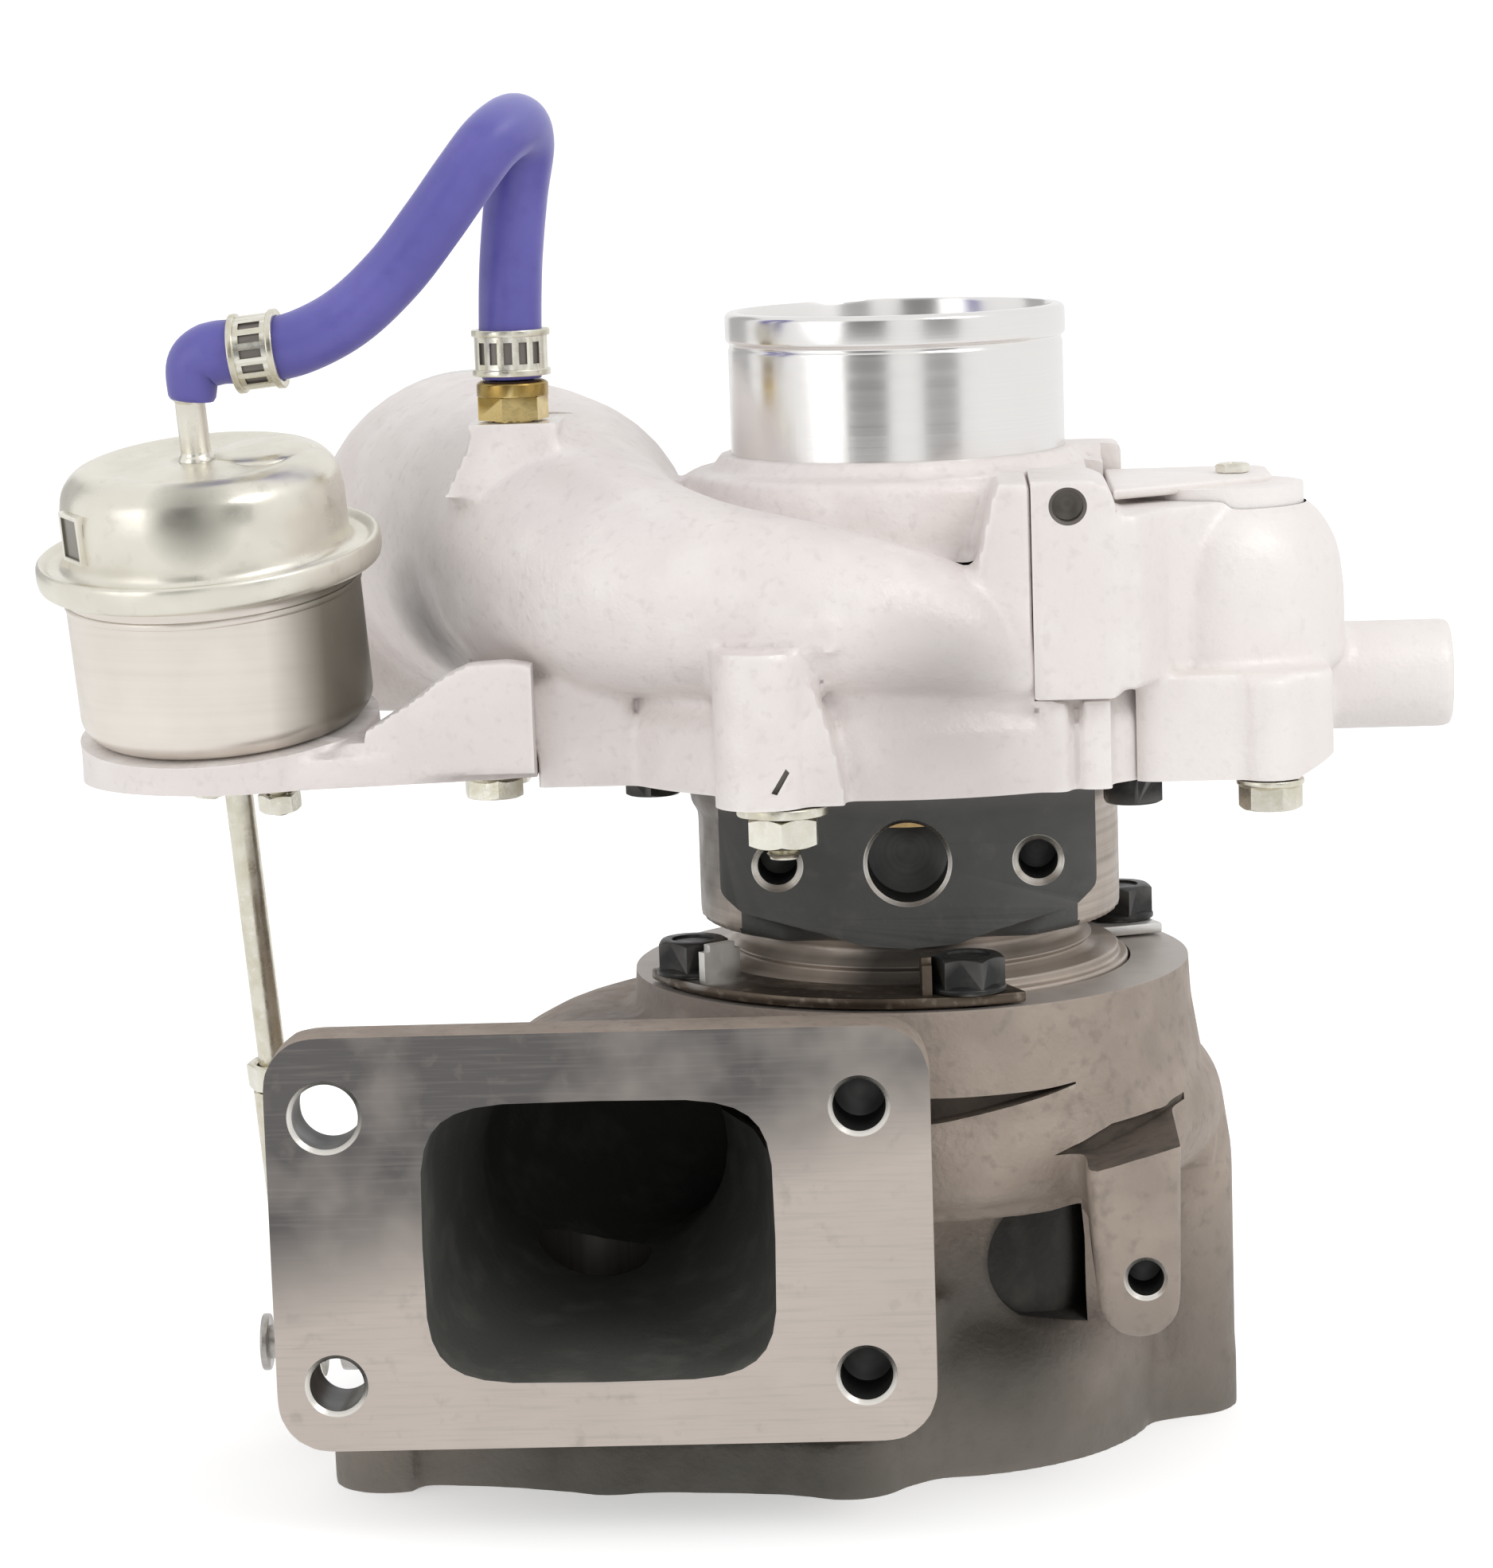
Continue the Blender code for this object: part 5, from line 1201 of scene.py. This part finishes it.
def actuator_bracket():
    base = (CAN_BASE.x + 0.2, CAN_BASE.y)
    arm = prism(
        arc_outline(base, 22.6, 60, 300, 40) + [(-75, -33), (-53.7, -28.2), (-53.7, 1.8), (-75, 8)], 105,
        110.4, cast,
    )
    seat = lying(disc(22.2, -2, 7, cast, 96), CAN_BASE, CAN_AXIS)
    gusset = prism([
        (-83, 107), (-52, 107), (-52, 122.6), (-57, 123.6), (-62.6, 123.3), (-66.6, 121.6), (-70.2, 118.8),
        (-76, 115.2), (-83, 111.2),
    ], -32.6, -27.6, cast, "Y")
    flat = melt([arm, seat, gusset], 0.75, 4, cast)
    cut(
        flat,
        box((-140, -40), (-60, 40), (90, 106), milled),
        on_can(disc(27, CAN_LOW - 0.25, 26, cast, 96)),
        on_can(disc(4, -8, 8, dark_painted_shade, 40)),
        box((-53.68, -40), (-60, 40), (90, 140), cast),
        box((-70, -40), (-28.3, 40), (110.5, 140), cast),
    )
    for x, y, _ in CAN_STUDS:
        cut(flat, on_can(disc(2.1, -10, 8, dark_painted_shade, 32, (x, y))))
    cut(flat, *(disc(2.9, 100, 112, dark_painted_shade, 32, place) for place in BRACKET_BOLTS))
    return flat


# ---- wastegate


def wastegate_flap():
    flap = lathe(
        [(0, 13.4), (3, 13.4), (5, 14.2), (10.5, 14.2), (11.5, 15), (11.5, 17.2), (0, 17.2)], 0.4, steel,
        80, FLAP,
    )
    return join(flap, lathe([(0, 7), (2, 7), (2, 14), (0, 14)], 0.4, steel, 32, FLAP))


def wastegate_spindle():
    shaft = lying(
        lathe([(0, 0), (3.1, 0), (3.1, 41), (0, 41)], 0.4, steel, 48), (-86.2, *SPINDLE), (1, 0, 0),
    )
    join(shaft, prism(arc_outline(FLAP, 5.2, 180, 360) + [(-45.5, 23), (-54.5, 23)], 9.4, 13.1, steel))
    return cut(shaft, disc(2.3, 5, 16, steel, 32, FLAP))


def wastegate_lever():
    end = Vector((PIN_POINT.y, PIN_POINT.z))
    hub = Vector(SPINDLE)
    turn = atan2(end.y - hub.y, end.x - hub.x)
    outline = []
    for centre, radius, start in ((hub, 6, turn + pi / 2), (end, 4.6, turn - pi / 2)):
        outline += [
            (centre.x + radius * cos(start + pi * k / 20), centre.y + radius * sin(start + pi * k / 20))
            for k in range(21)
        ]
    lever = prism(outline, -89.6, -86.6, steel, "X")
    bevelled(lever, 0.4, 2)
    rivet = lathe([(0, 0), (3.1, 0), (2.4, 1.1), (0, 1.1)], 0.3, steel, 40)
    return join(lever, lying(rivet, (-89.5, *SPINDLE), (-1, 0, 0)))


def lever_pin():
    pin = lying(
        lathe([(0, 0), (2.6, 0), (2.6, 11.4), (0, 11.4)], 0.3, steel, 48),
        (-101.4, PIN_POINT.y, PIN_POINT.z), (1, 0, 0),
    )
    head = lathe([(0, 0), (4.4, 0), (4.4, 1.2), (0, 1.2)], 0.35, steel, 48)
    return join(pin, lying(head, (-101.9, PIN_POINT.y, PIN_POINT.z), (1, 0, 0)))


# ---- hose and its fittings

HOSE_R = 4.65
HOSE_ROUTE = [
    (-56.5, -12, 163.1), (-56.5, -12, 170), (-56, -12, 180), (-54.8, -12.4, 190), (-53.4, -14.6, 197.2),
    (-54, -19, 200.1), (-57.2, -22.6, 198), (-61.2, -24.4, 193), (-66, -25.4, 186.6),
    (-71.6, -26, 179.8), (-78.4, -26.2, 173.8), (-85.6, -26, 170.2), (-92, -25.6, 169),
    (-98, -25, 168.9), (-101.4, -24.9, 167.2), (-102.1, -24.6, 162.2),
]


def hose():
    """The hose as a swept tube with a rolled lip at each end."""
    points = smooth_through(HOSE_ROUTE, 10)
    rings = []
    across = Vector((1, 0, 0))
    count = len(points)
    for k, point in enumerate(points):
        along = (points[min(k + 1, count - 1)] - points[max(k - 1, 0)]).normalized()
        across = (across - along * across.dot(along)).normalized()
        up = along.cross(across)
        squeeze = max(0, (k - count + 18) / 18) * 1.3
        rings.append(oval_ring(point, across, up, HOSE_R - squeeze, HOSE_R - squeeze, 2, 40))
    for end in (0, -1):
        centre = points[end]
        rings[end] = [centre + (p - centre) * 0.93 for p in rings[end]]
    sleeve = loft(rings, silicone)
    cut(sleeve, disc(3.4, 150, 167, dark_painted_shade, 40, FITTING))
    nipple = CAN_BASE + CAN_AXIS * 45
    return cut(sleeve, bar(2.75, nipple, CAN_AXIS, 12.5, dark_painted_shade)), points


def hose_clamp(point, axis):
    """A band whose screw ears face the back and whose slots face the front."""
    turn = Vector((0, 0, 1)).rotation_difference(Vector(axis)).to_matrix()
    back = turn.transposed() @ Vector((0, 1, 0))
    ear = degrees(atan2(back.y, back.x))
    band = tube(HOSE_R + 0.05, HOSE_R + 0.75, -3.4, 3.4, hardware, 80, ease=0.3)
    for z in (-2.9, 2.9):
        join(band, tube(HOSE_R + 0.3, HOSE_R + 1.15, z - 0.5, z + 0.5, hardware, 80, ease=0.2))
    for k in range(5):
        a = radians(ear + 180 + 24 * (k - 2))
        slot = box((HOSE_R + 0.4, HOSE_R + 3), (-0.62, 0.62), (-1.6, 1.6), bored_iron)
        cut(band, moved(slot, Matrix.Rotation(a, 4, "Z")))
    ears = box((HOSE_R + 0.4, HOSE_R + 3), (-2.4, -1.2), (-2.5, 2.5), hardware)
    join(ears, box((HOSE_R + 0.4, HOSE_R + 3), (1.2, 2.4), (-2.5, 2.5), hardware))
    join(ears, bar(1.1, (HOSE_R + 1.9, -3.2, 0), (0, 1, 0), 6.4, hardware, 24))
    join(ears, lying(hex_head(3.4, 0, 1.6, hardware), (HOSE_R + 1.9, 2.3, 0), (0, 1, 0)))
    join(band, moved(ears, Matrix.Rotation(radians(ear), 4, "Z")))
    return lying(band, point, axis)


def brass_fitting():
    body = hex_head(9.2, 157.1, 160.9, brass, 0.3)
    join(body, lathe([(0, 148), (2.9, 148), (2.9, 157.4), (0, 157.4)], 0.3, brass, 40))
    barb = [
        (0, 160.5), (5.3, 160.5), (5.3, 162.5), (4.6, 162.9), (3.1, 162.9), (3.1, 164), (3.3, 164.4),
        (2.8, 165.4), (0, 165.4),
    ]
    join(body, lathe(barb, 0.25, brass, 48))
    cut(body, disc(1.5, 140, 170, dark_painted_shade, 24))
    return at(body, *FITTING)


# ---- springs


def flexing_spring(node_name):
    """A steel copy of a CAD spring's shape, put in place of its node."""
    node = frame["nodes"][node_name]
    mesh = node.data.copy()
    mesh.materials.clear()
    item = placed(node_name + "_fine", mesh, steel)
    item.matrix_world = node.matrix_world.copy()
    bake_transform(item)
    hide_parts(node_name)


# ---- assembly

put(turbine_housing(), "turbine_housing", "turbine_casting")
put(turbine_wheel_shaft(), "turbine_wheel_shaft", "turbine_wheel_fine")
put(compressor_wheel(), "compressor_wheel")
put(nut(9.5, 134.3, 139, 3.2, steel), "shaft_nut")
put(bearing_housing(), "bearing_housing", "centre_casting")
put(backplate(), "backplate")
put(clamp_plate(TURBINE_BOLTS[0]), "clamp_plate_right")
put(clamp_plate(TURBINE_BOLTS[2]), "clamp_plate_left")
for k, angle in enumerate(TURBINE_BOLTS, 1):
    piece = bolt(9.4, 5.2, 2.9, 12, black, radians(angle) + 0.3 * k, 5.5)
    at(piece, *round_shaft(BOLT_CIRCLE, angle), TURBINE_TOP + 2.1)
    put(piece, f"turbine_bolt_{k}", f"turbine_bolt_fine_{k}")
put(compressor_cover(), "compressor_cover", "cover_casting")
for k, angle in enumerate(COVER_BOLTS, 1):
    piece = upside_down(bolt(8, 4.6, 2.5, 11, black, 0.4 * k, 4.7))
    put(at(piece, *round_shaft(COVER_CIRCLE, angle), 103.3), f"cover_bolt_{k}", f"cover_bolt_fine_{k}")
put(at(threaded(2.5, 96.4, 116.5, hardware), *STUD), "cover_stud")
put(at(tube(2.9, 6.6, 102.7, 104.1, hardware), *STUD), "cover_stud_washer")
put(at(nut(9.6, 98.2, 102.5, 2.9, hardware, 0.5), *STUD), "cover_stud_nut")
put(actuator_bracket(), "actuator_bracket", "bracket_casting")
for k, place in enumerate(BRACKET_BOLTS, 1):
    piece = upside_down(bolt(8, 3.8, 2.5, 11, hardware, 0.3 * k, 4.9))
    put(at(piece, *place, 105.8), f"bracket_bolt_{k}", f"bracket_bolt_fine_{k}")
put(can_lower(), "actuator_lower_can", "can_lower_fine")
put(can_upper(), "actuator_upper_can", "can_upper_fine")
for k, (x, y, low) in enumerate(CAN_STUDS, 1):
    piece = on_can(at(nut(5.5, low, low + 2.8, 1.9, hardware, 0.2), x, y))
    put(piece, f"actuator_nut_{k}", f"actuator_nut_fine_{k}")
rod_foot = 20 - PIN_DROP
rod = lathe([(0, rod_foot), (2.1, rod_foot), (2.1, 28.1), (0, 28.1)], 0.2, hardware, 48)
put(on_can(rod), "actuator_rod")
put(on_can(nut(7, -PIN_DROP + 42.5, -PIN_DROP + 46.5, 2.4, hardware)), "rod_lock_nut")
put(rod_end(), "rod_end")
put(wastegate_flap(), "wastegate_flap")
put(wastegate_spindle(), "wastegate_spindle")
put(wastegate_lever(), "wastegate_lever")
put(lever_pin(), "lever_pin")
put(bypass_housing(), "bypass_housing", "bypass_casting")
put(bypass_lid(), "bypass_lid")
put(at(bolt(4.4, 1.3, 1.5, 1.2, hardware), *LID_SCREW, 146), "bypass_lid_screw")
put(at(upside_down(bolt(8, 4.4, 2.2, 12, hardware, 0.2, 4.9)), *BYPASS_BOLT, 104), "bypass_bolt")
put(brass_fitting(), "brass_fitting")
tube_piece, line = hose()
put(tube_piece, "hose", "signal_hose", crease=60)
for name, point, axis in (
    ("hose_clamp_fitting", (*FITTING, 167), (0, 0, 1)),
    ("hose_clamp_actuator", HOSE_ROUTE[-4], Vector(HOSE_ROUTE[-5]) - Vector(HOSE_ROUTE[-3])),
):
    put(hose_clamp(point, axis), name)
path = [TO_ROW @ Vector(point) for point in line]

flexing_spring("actuator_spring")
flexing_spring("bypass_spring")

# The inner pieces keep their own shapes
for name, node in frame["nodes"].items():
    if not node.hide_render:
        node.data.materials.clear()
        node.data.materials.append(bronze_flat if name == "thrust_bearing" else CARRIED[SLOTS[name]])


# ---- stage


def unseen(item, *rays):
    for ray in rays:
        setattr(item, "visible_" + ray, False)


def panel(name, look, corners):
    mesh = bpy.data.meshes.new(name)
    mesh.from_pydata(corners, [], [tuple(range(len(corners)))])
    item = placed(name, mesh, look)
    return item


paper = Look("studio_paper", (0.8, 0.8, 0.8), 0, 0.9)
paper.blotch(400, (0.78, 0.78, 0.78), 0.4, 0.6)
dial(paper.shader, {"Emission Color": (1, 1, 1, 1), "Emission Strength": 0.42, "Specular IOR Level": 0})
paper = paper.done()
floor = panel("studio_floor", paper, [(-6, -6, 0), (6, -6, 0), (6, 6, 0), (-6, 6, 0)])
unseen(floor, "glossy", "diffuse")

glow = plain_look("white_wall", {
    "Base Color": (0, 0, 0, 1), "Emission Color": (1, 1, 1, 1), "Emission Strength": 1.05,
})
for k, (across, away) in enumerate(((1, 0), (-1, 0), (0, 1), (0, -1))):
    ends = [
        (5.9 * across - 6 * away, 5.9 * away + 6 * across),
        (5.9 * across + 6 * away, 5.9 * away - 6 * across),
    ]
    wall = panel(
        f"studio_wall_{k}", glow, [(*ends[0], -0.5), (*ends[1], -0.5), (*ends[1], 6), (*ends[0], 6)],
    )
    unseen(wall, "glossy", "diffuse", "shadow")


def flag(name, shade, start, end):
    """A dark card round the object that only reflections see, from start to end degrees right of the view."""
    look = plain_look(
        name, {"Base Color": (shade, shade, shade, 1), "Roughness": 1, "Specular IOR Level": 0},
    )
    bm = bmesh.new()
    rows = []
    radius, steps = 1.1, 12
    for i in range(steps + 1):
        a = radians(start + (end - start) * i / steps)
        rows.append([bm.verts.new((radius * sin(a), -radius * cos(a), z)) for z in (0.02, 0.9)])
    for before, after in zip(rows, rows[1:]):
        bm.faces.new((before[0], after[0], after[1], before[1]))
    item = from_bmesh(bm, look, name)
    unseen(item, "camera", "diffuse", "shadow", "transmission")


flag("flag_centre", 0.22, -34, -4)
flag("flag_right", 0.34, 20, 44)
flag("flag_left", 0.45, -150, -118)

world = bpy.data.worlds.new("studio")
bpy.context.scene.world = world
world.use_nodes = True
background = world.node_tree.nodes["Background"]
sky_place = world.node_tree.nodes.new("ShaderNodeTexCoord")
split = world.node_tree.nodes.new("ShaderNodeSeparateXYZ")
rise = world.node_tree.nodes.new("ShaderNodeMapRange")
dial(rise, {"From Min": -0.5, "From Max": 0.5, "To Min": 0.98, "To Max": 0.94})
world.node_tree.links.new(sky_place.outputs["Generated"], split.inputs[0])
world.node_tree.links.new(split.outputs["Z"], rise.inputs["Value"])
world.node_tree.links.new(rise.outputs[0], background.inputs["Color"])
dial(background, {"Strength": 1})


def softbox(name, energy, size, place):
    light = bpy.data.lights.new(name, "AREA")
    light.energy = energy
    light.shape = "DISK"
    light.size = size
    lamp = bpy.data.objects.new(name, light)
    lamp.location = place
    lamp.rotation_euler = (Vector(place) - Vector((0, 0, 0.1))).to_track_quat("Z", "Y").to_euler()
    bpy.context.collection.objects.link(lamp)


softbox("key", 3.6, 0.6, (0.75, -0.75, 0.95))
softbox("fill", 1.8, 0.9, (-0.9, -0.9, 0.4))

# The camera stands where the photographer's did: level turned a little left, tipped down and rolled
PITCH, YAW, ROLL = radians(8.8), radians(2.4), radians(1.85)
forward = Vector((-sin(YAW) * cos(PITCH), cos(YAW) * cos(PITCH), -sin(PITCH)))
level = forward.cross(Vector((0, 0, 1))).normalized()
upright = level.cross(forward)
right = level * cos(ROLL) - upright * sin(ROLL)
top = level * sin(ROLL) + upright * cos(ROLL)
lens = bpy.data.cameras.new("camera")
lens.lens = 107.2
lens.sensor_width = 36
lens.sensor_fit = "AUTO"
lens.clip_start = 0.02
camera = bpy.data.objects.new("camera", lens)
turn = Matrix((tuple(right), tuple(top), tuple(-forward))).transposed()
camera.matrix_world = Matrix.Translation(SHAFT + Vector((5, -700, 208.253)) * MM) @ turn.to_4x4()
bpy.context.collection.objects.link(camera)
bpy.context.scene.camera = camera
bpy.context.scene.view_settings.view_transform = "Standard"
